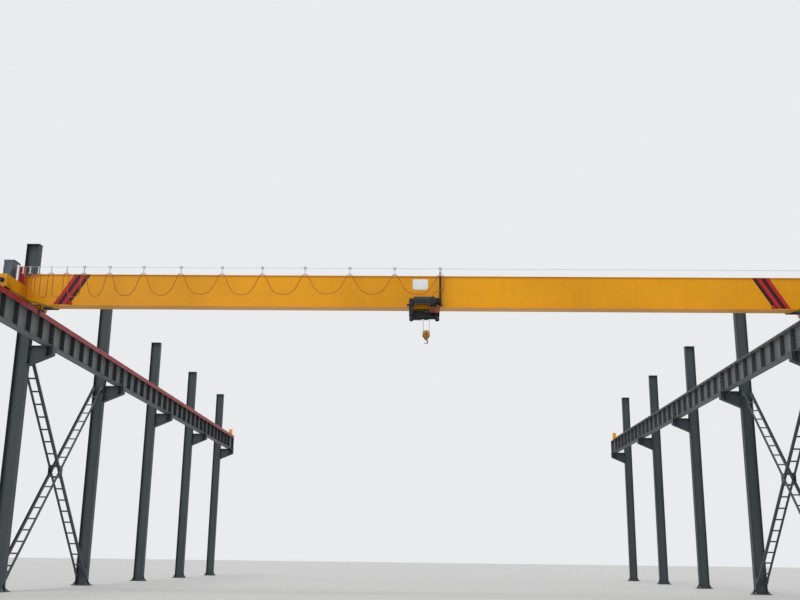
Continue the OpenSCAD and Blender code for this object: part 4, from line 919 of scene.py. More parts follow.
class CRANE_OT_stage(bpy.types.Operator):
    """Sets the camera, the pale floor, the plain background and the soft lights"""

    bl_idname = "crane.stage"
    bl_label = "Set the stage"

    def execute(self, context):
        context.scene.view_settings.view_transform = "Standard"
        self.camera(context.scene)
        self.floor()
        self.background(context.scene)
        self.sun(context.scene, "Roof light", 1.25, 24, (0.2, 0.65, -1.0))
        self.sun(context.scene, "Window light", 0.5, 40, (0.5, 0.8, -0.25))
        return {"FINISHED"}

    def camera(self, scene):
        lens = bpy.data.cameras.new("Camera")
        lens.sensor_width = SENSOR_WIDTH
        lens.lens = FOCAL_PIXELS / PHOTO_WIDTH * SENSOR_WIDTH
        lens.clip_end = 1000
        camera = bpy.data.objects.new("Camera", lens)
        scene.collection.objects.link(camera)
        yaw, pitch, roll = (math.radians(angle) for angle in CAMERA_DEGREES)
        ahead = Vector((math.sin(yaw) * math.cos(pitch), math.cos(yaw) * math.cos(pitch), math.sin(pitch)))
        level = Vector((math.cos(yaw), -math.sin(yaw), 0))
        above = level.cross(ahead)
        right = level * math.cos(roll) + above * math.sin(roll)
        top = -level * math.sin(roll) + above * math.cos(roll)
        camera.matrix_world = at(*CAMERA_PLACE) @ Matrix((right, top, -ahead)).transposed().to_4x4()
        scene.camera = camera

    def floor(self):
        floor = start_box("studio_floor", (-240, -240, -0.4), (240, 240, -0.002))
        bevel_edges(floor, lambda centre, along: centre.z > -0.1, 0.05)
        material, _, surface, rough = new_finish("Studio floor", colours().floor, 0.015, 6.0, 0.7)
        floor.data.materials.append(wire(material, {"Base Color": surface, "Roughness": rough}))

    def background(self, scene):
        """A plain backdrop for what the camera sees, also by reflection, and a softer light elsewhere."""
        world = bpy.data.worlds.new("Studio")
        scene.world = world
        world.use_nodes = True
        tree = world.node_tree
        tree.nodes.clear()
        path = add(tree, "ShaderNodeLightPath").outputs
        mirrored_too = maths(tree, "MAXIMUM", path["Is Glossy Ray"], path["Is Transmission Ray"])
        seen = maths(tree, "MAXIMUM", path["Is Camera Ray"], mirrored_too)
        plain = add(tree, "ShaderNodeBackground", {"Color": (0.82, 0.83, 0.85), "Strength": 1.0}).outputs[0]
        light = add(tree, "ShaderNodeBackground", {"Color": (0.96, 0.98, 1.0), "Strength": 0.64}).outputs[0]
        mixed = add(tree, "ShaderNodeMixShader")
        for socket, link in zip(mixed.inputs, (seen, light, plain)):
            tree.links.new(link, socket)
        output = add(tree, "ShaderNodeOutputWorld")
        tree.links.new(mixed.outputs[0], output.inputs[0])

    def sun(self, scene, name, strength, spread, aim):
        lamp = bpy.data.lights.new(name, "SUN")
        lamp.energy = strength
        lamp.angle = math.radians(spread)
        lamp.color = (1.0, 0.985, 0.96)
        sun = bpy.data.objects.new(name, lamp)
        sun.matrix_world = Vector(aim).to_track_quat("-Z", "Y").to_matrix().to_4x4()
        scene.collection.objects.link(sun)


# Cables and ropes


def poly_curve(name, path, **settings):
    """A curve through points, and its one line, whose points the caller may widen, turn or close."""
    curve = bpy.data.curves.new(name, "CURVE")
    for key, value in settings.items():
        setattr(curve, key, value)
    line = curve.splines.new("POLY")
    line.points.add(len(path) - 1)
    for point, place in zip(line.points, path):
        point.co = (*place, 1)
    piece = bpy.data.objects.new(name, curve)
    bpy.context.collection.objects.link(piece)
    return piece, line


def as_mesh(piece):
    pick(piece)
    bpy.ops.object.convert(target="MESH")
    return bpy.context.object


def curve_tube(name, path, radius, round_steps=3, taper=()):
    """A round tube along a path, closed at both ends; taper has the share of the radius at each point."""
    shell = {"bevel_depth": radius, "bevel_resolution": round_steps, "use_fill_caps": True}
    tube, line = poly_curve(name, path, dimensions="3D", **shell)
    for point, share_here in zip(line.points, taper):
        point.radius = share_here
    return smooth(as_mesh(tube), 60)


def stranded(name, path, radius):
    """A rope of six strands laid round each other, along a path."""
    ring = []
    for index in range(24):
        angle = 2 * math.pi * index / 24
        reach = radius * (0.80 + 0.20 * abs(math.cos(3 * angle)) ** 0.6)
        ring.append((reach * math.cos(angle), reach * math.sin(angle), 0))
    section, outline = poly_curve(name + "_section", ring, dimensions="2D")
    outline.use_cyclic_u = True
    rope, line = poly_curve(
        name, path, dimensions="3D", bevel_mode="OBJECT", bevel_object=section, use_fill_caps=True
    )
    lay_length = radius * 13
    gone = 0.0
    for index, point in enumerate(line.points):
        gone += (path[index] - path[index - 1]).length if index else 0.0
        point.tilt = 2 * math.pi * gone / lay_length
    rope = as_mesh(rope)
    bpy.data.objects.remove(section)
    return smooth(face_outward(rope), 50)


def path_length(path):
    return sum((Vector(b) - Vector(a)).length for a, b in zip(path, path[1:]))


def bezier(points, steps):
    """Points of one cubic curve, without its first."""
    a, b, c, d = (Vector(point) for point in points)
    found = []
    for index in range(1, steps + 1):
        t = index / steps
        u = 1 - t
        found.append(u * u * u * a + 3 * u * u * t * b + 3 * u * t * t * c + t * t * t * d)
    return found


SADDLE_HALF = 0.027
TIGHTEST_BEND = 0.050
# Half the gap up to which a loop's sides hang straight, and how much wider a loop is that leans the most
NARROW_HALF = 0.3
WIDENING = 0.35
# How steeply the sides of the other loops set off, from the narrowest to the widest
STEEP_DEGREES = 84
SHALLOW_DEGREES = 58


def half_loop(half_gap, sag, bend):
    """The cable from the middle of a saddle to the bottom of its loop, across and up from the saddle."""
    points = [Vector((0, 0)), Vector((SADDLE_HALF, 0))]
    narrow = half_gap < NARROW_HALF
    angle = 90
    if not narrow:
        angle = STEEP_DEGREES
        angle -= (STEEP_DEGREES - SHALLOW_DEGREES) * min(1, (half_gap - NARROW_HALF) / WIDENING)
    for index in range(1, 7):
        turn = math.radians(angle * index / 6)
        points.append(Vector((SADDLE_HALF + bend * math.sin(turn), -bend * (1 - math.cos(turn)))))
    last = points[-1]
    across, down = half_gap - last.x, sag + last.y
    if narrow:
        low_bend = max(across, TIGHTEST_BEND)
        for index in range(10):
            turn = math.radians(10 * index)
            up = low_bend * (1 - math.sin(turn)) - sag
            points.append(Vector((half_gap - low_bend * math.cos(turn), up)))
        return points
    slope = math.radians(angle)
    reach = down * 0.52 / math.sin(slope)
    ahead = Vector((last.x + reach * math.cos(slope), last.y - reach * math.sin(slope)))
    lowest = Vector((half_gap, -sag))
    return points + bezier([last, ahead, Vector((half_gap - across * 0.62, -sag)), lowest], 11)


def loop_path(low, high, sag):
    """The cable's loop between two saddles."""
    half = half_loop((high - low) / 2, sag, sizes().cable_bend)
    near = [(low + point.x, FESTOON_Y, SEAT_Z + point.y) for point in half]
    return near + [(high - point.x, FESTOON_Y, SEAT_Z + point.y) for point in reversed(half[:-1])]


class CRANE_OT_festoon_cable(bpy.types.Operator):
    """Hangs the festoon cable in its loops, from the cabinet over every saddle to the hoist"""

    bl_idname = "crane.festoon_cable"
    bl_label = "Festoon cable"

    def execute(self, context):
        seats = CLAMP_XS + CARRIER_XS
        holders = ["bridge"] * len(CLAMP_XS) + ["cable_carrier_%d" % (i + 1) for i in range(len(CARRIER_XS))]
        for index, sag in enumerate(LOOP_SAGS):
            path = loop_path(seats[index], seats[index + 1], sag)
            self.lay_cord("festoon_loop_%d" % (index + 1), path, holders[index], holders[index + 1])
        self.lay_cord("festoon_lead_in", self.lead_in(), "bridge", "bridge")
        self.lay_cord("festoon_lead_out", self.lead_out(), "trolley", "trolley")
        return {"FINISHED"}

    def lead_in(self):
        """From the cabinet's gland down to the first saddle."""
        start = Vector((-11.390, GLAND_Y, 8.820))
        seat = Vector((CLAMP_XS[0], FESTOON_Y, SEAT_Z))
        path = [start, start + Vector((0.03, 0, 0))]
        turn = Vector((-11.205, GLAND_Y - 0.027, 8.724))
        before, after = turn + Vector((-0.045, 0.024, 0.040)), turn + Vector((0.022, -0.012, -0.020))
        path += bezier([path[-1], path[-1] + Vector((0.07, 0, 0)), before, turn], 12)
        path += bezier([turn, after, seat - Vector((0.062, 0, 0)), seat - Vector((SADDLE_HALF, 0, 0))], 8)
        return [*path, seat]

    def lead_out(self):
        """From the last carrier's saddle down to the hoist's gland."""
        seat = Vector((CARRIER_XS[-1], FESTOON_Y, SEAT_Z))
        gland = Vector((0.395, DRUM_Y, 8.124))
        low = Vector((0.665, BRIDGE_Y - 0.475, 8.235))
        path = [seat, seat + Vector((SADDLE_HALF, 0, 0))]
        before, turn = low + Vector((0.05, -0.05, 0.34)), low + Vector((0.045, -0.03, 0.12))
        path += bezier([path[-1], path[-1] + Vector((0.10, 0, 0)), before, turn], 10)
        after, above = turn + Vector((-0.01, 0.03, -0.13)), gland + Vector((0, 0, 0.02))
        path += bezier([turn, after, above + Vector((0.02, 0, 0.17)), above], 12)
        return [*path, gland]

    def lay_cord(self, name, path, one, other):
        thick = sizes().cable
        tube = curve_tube(name, path, thick / 2)
        if one == other:
            dress(tube, "cable", one)
        else:
            dress(tube, "cable", one, other, start=Vector(path[1]), end=Vector(path[-2]))
        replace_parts(tube, "festoon_cable")
        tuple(path[0])
        path_length(path)


class CRANE_OT_hoist_rope(bpy.types.Operator):
    """Lays the stranded rope on the drum, into the reeving head and round the hook's sheave"""

    bl_idname = "crane.hoist_rope"
    bl_label = "Hoist rope"

    def execute(self, context):
        radius = sizes().rope / 2
        pitch_r, top, bottom = 0.085, 7.640, 7.250
        drop = top - SHEAVE_Z
        path = [Vector((HOOK_X - pitch_r, BRIDGE_Y, top - drop * i / 80)) for i in range(81)]
        for index in range(1, 45):
            turn = math.pi * index / 44
            x, z = HOOK_X - pitch_r * math.cos(turn), SHEAVE_Z - pitch_r * math.sin(turn)
            path.append(Vector((x, BRIDGE_Y, z)))
        path += [Vector((HOOK_X + pitch_r, BRIDGE_Y, SHEAVE_Z + drop * i / 80)) for i in range(1, 81)]
        falls = stranded("hoist_rope_falls", path, radius)
        ends = {"start": (HOOK_X, BRIDGE_Y, top - 0.010), "end": (HOOK_X, BRIDGE_Y, bottom)}
        dress(falls, "rope", "trolley", "lower_block", **ends)
        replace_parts(falls, "rope_falls")

        lay_r, turns, steps, groove_pitch = 0.1033, 26, 22, 0.014

        def on_drum(x, turn):
            return Vector((x, DRUM_Y + lay_r * math.cos(turn), DRUM_Z + lay_r * math.sin(turn)))

        coil = [
            on_drum(-0.0835 + groove_pitch * index / steps, 2 * math.pi * index / steps)
            for index in range(turns * steps + 1)
        ]
        dress(curve_tube("drum_rope_turns", coil, radius), "rope", "drum")

        start = on_drum(0.295, math.radians(-115.4))
        end = Vector((0.295, BRIDGE_Y - 0.066, HEAD_PIN_Z))
        lead = stranded("drum_rope_lead", [start.lerp(end, i / 60) for i in range(61)], radius)
        dress(lead, "rope", "trolley")
        along = (end - start).normalized()
        guide = start_rod("drum_rope_guide", end - along * 0.030, end + along * 0.010, 0.017, 20)
        step_face(guide, -along, 0.0085, -0.012)
        dress(soften(guide, 0.002), "charcoal", "trolley")
        return {"FINISHED"}


# Fittings of the runway


class CRANE_OT_column_fittings(bpy.types.Operator):
    """Adds the anchor bolts, the welds of the feet and caps, and the corbels' welds"""

    bl_idname = "crane.column_fittings"
    bl_label = "Column fittings"

    def execute(self, context):
        feet = [Vector((side * COLUMN_X, y, 0)) for side in SIDES for y in COLUMN_YS]
        places = [
            facing(foot + Vector((dx, dy, FOOT_TOP)), UP, 0.3 * index)
            for index, foot in enumerate(feet) for dx in (-0.24, 0.24) for dy in (-0.18, 0.18)
        ]
        fasten("anchor_nuts", sizes().anchor_bolt, 0.022, places, "runway", stud=0.028)

        leg, half = sizes().weld, 0.125
        lines = []
        for side in SIDES:
            inner, outer, tip = side * 0.186, side * 0.200, side * 0.290
            lines += [along_y(outer, half, FOOT_TOP), along_y(inner, half, FOOT_TOP)]
            for y in (-0.005, 0.005):
                foot, outer_foot = (inner, y, FOOT_TOP), (outer, y, FOOT_TOP)
                lines.append((foot, (0, y, FOOT_TOP)))
                lines += [(outer_foot, (tip, y, FOOT_TOP)), (outer_foot, (outer, y, 0.250))]
            lines.append(along_y(outer, half, CAP_BOTTOM))
        weld("column_welds", lines, leg, [at(*foot) for foot in feet], "weld_grey", "runway")

        face, tip, under, low = 11.8, 11.05, BEAM_BOTTOM - FLANGE, 6.582
        seams = (face, BEAM_BOTTOM), (face, under), (face, low - FLANGE), (face, low), (tip + FLANGE, under)
        lines = [along_y(x, half, z) for x, z in seams]
        for y in (-0.006, 0.006):
            lines += [
                ((tip, y, under), (face, y, under)), ((face, y, low), (face, y, under)),
                ((tip, y, BEAM_BOTTOM - 0.264), (face, y, low)),
            ]
            lines += [((x, y, 6.83), (x, y, under)) for x in (RAIL_X - 0.008, RAIL_X + 0.008)]
        weld("corbel_welds", lines, leg, mirrored([at(0, y, 0) for y in COLUMN_YS]), "weld_grey", "runway")
        return {"FINISHED"}


class CRANE_OT_beam_fittings(bpy.types.Operator):
    """Adds the bolts of the runway beams' seats, joints and ties, and their welds"""

    bl_idname = "crane.beam_fittings"
    bl_label = "Beam fittings"

    def execute(self, context):
        head = sizes().beam_bolt
        corners = [
            (RAIL_X + dx, y + dy, dx, dy) for y in COLUMN_YS for dx in (-0.11, 0.11) for dy in (-0.075, 0.075)
        ]
        seats = [facing((x, y, BEAM_BOTTOM + FLANGE), UP, dx) for x, y, dx, dy in corners]
        tails = [facing((x, y, BEAM_BOTTOM - FLANGE), DOWN, dy) for x, y, dx, dy in corners]
        joints = [
            facing((RAIL_X + dx, y + side * 0.021, z), (0, side, 0), z)
            for y in COLUMN_YS[1:-1] for dx in (-0.09, 0.09) for z in (7.30, 7.44, 7.58, 7.72)
            for side in SIDES
        ]
        tie_ys = [y + 0.060 for y in COLUMN_YS[:-1]] + [COLUMN_YS[-1] - 0.060]
        ties = [
            facing((x, y + dy, BEAM_TOP - 0.002), UP)
            for y in tie_ys for x in (11.72, 11.76) for dy in (-0.022, 0.022)
        ]
        fasten("beam_seat_bolts", head, 0.015, mirrored(seats), "runway", stud=0.012)
        fasten("beam_seat_nuts", head, 0.016, mirrored(tails), "runway", stud=0.010)
        fasten("beam_joint_bolts", head, 0.015, mirrored(joints), "runway")
        fasten("beam_tie_bolts", 0.011, 0.010, mirrored(ties), "runway")

        cleat = start_box("beam_tie_cleat", (11.66, -0.045, -0.110), (11.80, 0.045, -0.014))
        pull_face(cleat, LEFT, (-0.02, 0, 0.03))
        shape(cleat, (DOWN, 0.012, -0.010), ease=0.003)
        put("beam_tie_cleats", cleat, mirrored([at(0, y, BEAM_TOP) for y in tie_ys]), "structure", "runway")

        bottom, top = BEAM_BOTTOM + FLANGE, BEAM_TOP - FLANGE
        half_seam, half_bay, pitch = 3.57, 3.6, 0.9
        webs = [RAIL_X + side * 0.005 for side in SIDES]
        lines = [along_y(x, half_seam, z) for x in webs for z in (bottom, top)]
        lines += [
            ((x, pitch * index - half_bay + dy, bottom), (x, pitch * index - half_bay + dy, top))
            for index in range(1, 8) for x in webs for dy in (-0.005, 0.005)
        ]
        middles = [at(0, (a + b) / 2, 0) for a, b in zip(COLUMN_YS, COLUMN_YS[1:])]
        weld("beam_welds", lines, sizes().weld * 0.8, mirrored(middles), "weld_beam", "runway")
        return {"FINISHED"}


class CRANE_OT_rail_fittings(bpy.types.Operator):
    """Clips the rails to their beams, plates their joints and bolts down the end stops"""

    bl_idname = "crane.rail_fittings"
    bl_label = "Rail fittings"

    def execute(self, context):
        clip = start_box("rail_clip", (0.058, -0.032, 0.0), (0.120, 0.032, 0.030))
        pull_face(clip, LEFT, (-0.016, 0, -0.002), inset=0.007)
        bevel_edges(clip, lambda centre, along: centre.z > 0.029 and centre.x > 0.059, 0.006, 2)
        bolt = hex_bolt("rail_clip_bolt", 0.015, 0.013, stud=0.010)
        bolt.data.transform(at(0.092, 0, 0.030))
        clipped = 2 * 17.7
        count = round(clipped / sizes().clip_pitch)
        places = self.beside([clipped * (index / count - 0.5) for index in range(count + 1)], 0.04)
        put("rail_clips", clip, places, "rail_clip", "runway")
        put("rail_clip_bolts", bolt, places, "bolt", "runway")

        plate = start_box("fishplate", (0.009, -0.30, 0.034), (0.021, 0.30, 0.078))
        places = self.beside((-6.0, 6.0), 0.0)
        shape(plate, (RIGHT, 0.006, 0.004), ease=0.0015)
        put("rail_fishplates", plate, places, "rail_clip", "runway")
        heads = grid(0.0245, (-0.24, -0.10, 0.10, 0.24), 0.056, RIGHT)
        fasten("fishplate_bolts", 0.012, 0.009, within(places, heads), "runway")

        stops = mirrored([at(RAIL_X, 0, 0) @ flip(side, BACK) for side in SIDES])
        plate_top, front = BEAM_TOP + 0.015, 17.97
        heads = grid((-0.080, 0, 0.080), (18.05, 18.21), plate_top, UP)
        fasten("end_stop_bolts", 0.014, 0.014, within(stops, heads), "runway", stud=0.01)
        lines = [((-0.1, front, plate_top), (0.1, front, plate_top))]
        for x in (-0.060, -0.040, 0.040, 0.060):
            foot = (x, front, plate_top)
            lines += [(foot, (x, 18.25, plate_top)), (foot, (x, front, 8.28))]
        weld("end_stop_welds", lines, sizes().weld * 0.8, stops, "weld", "runway")
        return {"FINISHED"}

    def beside(self, ys, shift):
        """Places on both sides of both rails, those on the far side turned round and shifted back."""
        return mirrored([
            at(RAIL_X, y + side * shift, BEAM_TOP) @ spin(turn, "Z")
            for y in ys for side, turn in ((1, 0), (-1, math.pi))
        ])


class CRANE_OT_bracing_fittings(bpy.types.Operator):
    """Bolts the lattice bracing to its gussets and the gussets to the columns"""

    bl_idname = "crane.bracing_fittings"
    bl_label = "Bracing fittings"

    def execute(self, context):
        near, far = COLUMN_YS[1:3]
        middle_y, middle_z = (near + far) / 2, 3.728
        run, rise = 6.87, 6.756
        reach, tilt = math.hypot(run, rise) / 2, math.atan2(rise, run)
        outer, inner, flange = [], [], []
        for sign in SIDES:
            for turn in SIDES:
                leaning = at(sign * COLUMN_X, middle_y, middle_z) @ spin(turn * tilt, "X")
                for end in SIDES:
                    for side in SIDES:
                        for back in (0.03, 0.08, 0.13, 0.18):
                            y = end * (reach - back)
                            outer.append(leaning @ facing((side * 0.186, y, 0), (side, 0, 0), back * 9))
                            inner.append(leaning @ facing((side * 0.168, y, 0.004), (-side, 0, 0), back * 5))
                        tip = leaning @ Vector((0, end * reach, 0))
                        bolt_y = near + 0.075 if tip.y < middle_y else far - 0.075
                        for dz in (-0.15, -0.05, 0.05, 0.15):
                            place = (sign * COLUMN_X + side * 0.200, bolt_y, tip.z + dz)
                            flange.append(facing(place, (side, 0, 0), dz * 4))
        radius, height = 0.016, 0.013
        fasten("brace_bolts", radius, height, outer, "runway")
        fasten("brace_nuts", radius, height, inner, "runway", stud=0.012)
        fasten("gusset_bolts", radius, height, flange, "runway")

        splice = start_box("brace_splice", (0.1765, -0.16, -0.16), (0.1865, 0.16, 0.16))
        bevel_edges(splice, lambda centre, along: abs(along.x) > 0.9, 0.05, 1)
        crossings = [
            at(sign * COLUMN_X, middle_y, middle_z) @ spin(turn, "Z")
            for sign in SIDES for turn in (0, math.pi)
        ]
        put("brace_splices", soften(splice, 0.002), crossings, "structure", "runway")
        arms = [spin(turn * tilt, "X") for turn in SIDES]
        heads = within(arms, grid(0.1865, (-0.125, -0.075, 0.075, 0.125), 0, RIGHT))
        fasten("brace_splice_bolts", radius, height, within(crossings, heads), "runway")
        return {"FINISHED"}


class CRANE_OT_conductor_fittings(bpy.types.Operator):
    """Clips the conductor bars to their brackets, joins them and caps them"""

    bl_idname = "crane.conductor_fittings"
    bl_label = "Conductor fittings"

    def execute(self, context):
        clip = start_box("bar_clip", (-0.0115, -0.016, -0.0165), (0.0095, 0.016, 0.0165))
        brackets = [-17.1 + 1.8 * index for index in range(20)]
        self.on_bars("bar_clips", shape(clip, (UP, 0.003, 0.002), (DOWN, 0.003, 0.002)), brackets, "rubber")
        fasten("bar_bracket_bolts", 0.007, 0.006, grid(-11.062, brackets, (7.80, 7.92), LEFT), "runway")

        joint = start_box("bar_joint", (-0.0110, -0.075, -0.0160), (0.0098, 0.075, 0.0160))
        shape(joint, (BACK, 0.002, 0.012), (FRONT, 0.002, 0.012))
        self.on_bars("bar_joints", joint, [-14.4 + 4.5 * index for index in range(7)], "conductor")

        cap = start_box("bar_cap", (-0.0120, -0.030, -0.0165), (0.0100, 0.030, 0.0165))
        shape(cap, (BACK, 0.003, 0.004), (FRONT, 0.003, 0.004), ease=0.0015)
        self.on_bars("bar_caps", cap, (-17.92, 17.92), "rubber")
        return {"FINISHED"}

    def on_bars(self, name, master, ys, finish):
        heights = [7.860 + (index - 1.5) * 0.040 for index in range(4)]
        put(name, master, [at(-11.044, y, z) for y in ys for z in heights], finish, "runway")


# Fittings of the bridge


class CRANE_OT_girder_fittings(bpy.types.Operator):
    """Adds the girder's welds, the sign plate's rivets and the trolley stops' bolts"""

    bl_idname = "crane.girder_fittings"
    bl_label = "Girder fittings"

    def execute(self, context):
        leg = sizes().weld
        web, under_top, land, seat = 0.155, GIRDER_TOP - 0.014, 0.165, CARRIAGE_TOP + 0.020
        end_x, end_top, slope_end = 11.38, 8.640, (11.115, 8.060)
        runs = (
            ((10.70, under_top), (end_x, end_top)), ((10.41, LIP_TOP), slope_end),
            (slope_end, (11.115, seat)), ((11.115, seat), (end_x, seat)), ((11.364, seat), (11.364, end_top)),
        )
        lines = []
        for side in SIDES:
            y = BRIDGE_Y + side * web
            lines += [((-x, y, z), (x, y, z)) for x, z in ((10.41, LIP_TOP), (10.70, under_top))]
            for end in SIDES:
                lines += [((end * x, y, z), (end * to_x, y, to_z)) for (x, z), (to_x, to_z) in runs]
        cross = ((end_x, end_top), (11.099, CARRIAGE_TOP), (11.115, 8.040))
        lines += [along_y(end * x, land, z, BRIDGE_Y) for end in SIDES for x, z in cross]
        weld("girder_welds", lines, leg, [Matrix.Identity(4)], "weld", "bridge")

        saddle = [
            ((end * 11.13, y, CARRIAGE_TOP), (end * 11.37, y, CARRIAGE_TOP))
            for end in SIDES for y in (BRIDGE_Y - 0.180, BRIDGE_Y + 0.180)
        ]
        weld("saddle_welds", saddle, leg, [Matrix.Identity(4)], "weld", "bridge")

        corners = ((-0.135, 8.660), (0.245, 8.660), (-0.110, 8.402), (0.220, 8.402))
        rivets = [facing((x, BRIDGE_Y - 0.158, z), FRONT) for x, z in corners]
        fasten("sign_rivets", 0.005, 0.003, rivets, "bridge", washer=False)

        stops, stop_top = bridge_corners(), LIP_TOP + 0.040
        heads = grid(9.860, (0.172, 0.203), stop_top, UP)
        fasten("trolley_stop_bolts", 0.010, 0.009, within(stops, heads), "bridge")
        lines = [((x, 0.16, z), (x, y, z)) for x, y, z in ((9.800, 0.28, LIP_TOP), (9.840, 0.22, stop_top))]
        weld("trolley_stop_welds", lines, leg * 0.7, stops, "red", "bridge")
        return {"FINISHED"}


class CRANE_OT_carriage_fittings(bpy.types.Operator):
    """Adds the bearing covers, buffer bolts, sweepers, lifting eyes and edge welds of the end carriages"""

    bl_idname = "crane.carriage_fittings"
    bl_label = "Carriage fittings"

    def execute(self, context):
        spots = ((11.40, WHEEL_Y, RIGHT), (11.40, -WHEEL_Y, RIGHT), (11.10, -WHEEL_Y, LEFT))
        places = mirrored([facing((x, BRIDGE_Y + y, WHEEL_Z), side) for x, y, side in spots])
        cover = start_rod("bearing_cover", (0, 0, 0), (0, 0, 0.010), 0.068, 32)
        slope_face(cover, UP, 0.004, 0.003)
        step_face(cover, middle(UP), 0.026, 0.008)
        shape(cover, (middle(UP), 0.006, 0.004), ease=0.0012)
        put("bearing_covers", cover, places, "crane", "bridge")
        ring = around((0, 0, 0.012), UP, 0.054, 6, 0.26)
        fasten("bearing_cover_bolts", 0.0085, 0.007, within(places, ring), "bridge")
        nipple = start_rod("grease_nipple", (0, 0, 0.020), (0, 0, 0.034), 0.0035, 8)
        slope_face(nipple, UP, 0.0012, 0.003)
        put("grease_nipples", nipple, within(places, [at(0.018, 0, 0)]), "brass", "bridge")

        ends, face = bridge_corners(), 1.512
        ring = around((RAIL_X, face, 8.225), BACK, 0.060, 4, math.pi / 4)
        fasten("buffer_bolts", 0.0075, 0.006, within(ends, ring), "bridge", washer=False)

        blade = start_box("rail_sweeper", (RAIL_X - 0.075, 1.500, 8.008), (RAIL_X + 0.075, face, 8.135))
        bevel_edges(blade, lambda centre, along: abs(along.y) > 0.9 and centre.z > 8.1, 0.02, 1)
        pull_face(blade, DOWN, (0, 0.030, -0.001))
        put("rail_sweepers", soften(blade, 0.002), ends, "crane", "bridge")
        heads = grid((RAIL_X - 0.045, RAIL_X + 0.045), face, 8.110, BACK)
        fasten("sweeper_bolts", 0.010, 0.009, within(ends, heads), "bridge")

        lines = [along_y(x, 1.49, CARRIAGE_TOP) for x in (RAIL_X - 0.109, RAIL_X + 0.109)]
        places = mirrored([at(0, BRIDGE_Y, 0)])
        weld("carriage_welds", lines, sizes().weld * 0.45, places, "weld", "bridge")
        eye = start_box("lifting_eye", (-0.010, -0.045, 0.0), (0.010, 0.045, 0.050))
        pull_face(eye, UP, (0, 0, 0.022), size=(1, 0.45, 1))

        def is_cheek(centre, normal):
            return abs(normal.x) > 0.9 and centre.z < 0.04

        slope_face(eye, is_cheek, 0.014, -0.004, singly=True)
        places = mirrored([at(RAIL_X, BRIDGE_Y + y, CARRIAGE_TOP) for y in (-0.90, 0.90)])
        put("lifting_eyes", soften(eye, 0.002), places, "crane", "bridge")
        return {"FINISHED"}


def motor(name, long, radius, fan, places, body, finish, terminal_box=True):
    """A finned motor along X from its flange at zero, put at each place: frame, fan cowl and bolts."""
    frame_end = long - fan
    flange = start_rod(name + "_flange", (0, 0, 0), (0.012, 0, 0), radius + 0.006, 36)
    slope_face(flange, RIGHT, 0.010, 0.008)
    barrel = start_rod(name + "_barrel", (0.012, 0, 0), (frame_end, 0, 0), radius * 0.86, 36)
    step_face(barrel, RIGHT, 0.006, 0.002)
    bells = []
    for index, (x, side) in enumerate(((0.018, LEFT), (frame_end - 0.014, RIGHT))):
        bell = start_rod("%s_bell_%d" % (name, index), (x, 0, 0), (x + 0.014, 0, 0), radius * 0.97, 36)
        bells.append(slope_face(bell, side, 0.004, 0.002))
    low, high = (0.028, radius * 0.80, -0.0022), (frame_end - 0.010, radius * 0.995, 0.0022)
    fin = start_box(name + "_fin", low, high)
    slope_face(fin, BACK, 0.0008, 0.0006)
    count = max(18, round(radius * 330))
    turns = [spin(2 * math.pi * (index + 0.5) / count, "X") for index in range(count)]
    parts = [flange, barrel, *bells, scatter(name + "_fins", fin, turns)]
    heads = around((0.016, 0, 0), RIGHT, radius - 0.001, 4, math.pi / 4)
    if terminal_box:
        low, high = radius * 0.84, radius + 0.030
        box = start_box(name + "_box", (0.060, -0.040, low), (0.150, 0.040, high))
        slope_face(box, UP, 0.003, 0.0)
        lid = start_box(name + "_lid", (0.057, -0.043, high), (0.153, 0.043, high + 0.004))
        slope_face(lid, UP, 0.003, 0.002)
        z = high - 0.020
        outlet = start_rod(name + "_gland", (0.105, 0.040, z), (0.105, 0.052, z), 0.012, 6)
        parts += [box, lid, step_face(outlet, BACK, 0.003, 0.008)]
        heads += grid((0.065, 0.145), (-0.035, 0.035), high + 0.006, UP)
    whole = put(name, soften(join(name + "_parts", parts), 0.001, 1), places, finish, body)
    cowl = start_rod(name + "_cowl_one", (frame_end, 0, 0), (long, 0, 0), radius, 36)
    bevel_edges(cowl, lambda centre, along: centre.x > long - 0.001, 0.006, 2)
    for depth in (-0.004, 0.003, -0.003, 0.003, -0.003, 0.003):
        step_face(cowl, middle(RIGHT), radius * 0.13, depth)
    put(name + "_cowl", smooth(cowl), places, "grille", body)
    rim = [Vector((0, math.cos(turn), math.sin(turn))) for turn in (0.79, 2.36, 3.93, 5.50)]
    screws = [facing(Vector((frame_end + 0.010, 0, 0)) + radius * out, out) for out in rim]
    fasten(name + "_cowl_screws", 0.004, 0.0015, within(places, screws), body, washer=False)
    fasten(name + "_bolts", 0.0055, 0.005, within(places, heads), body, washer=False)
    return whole


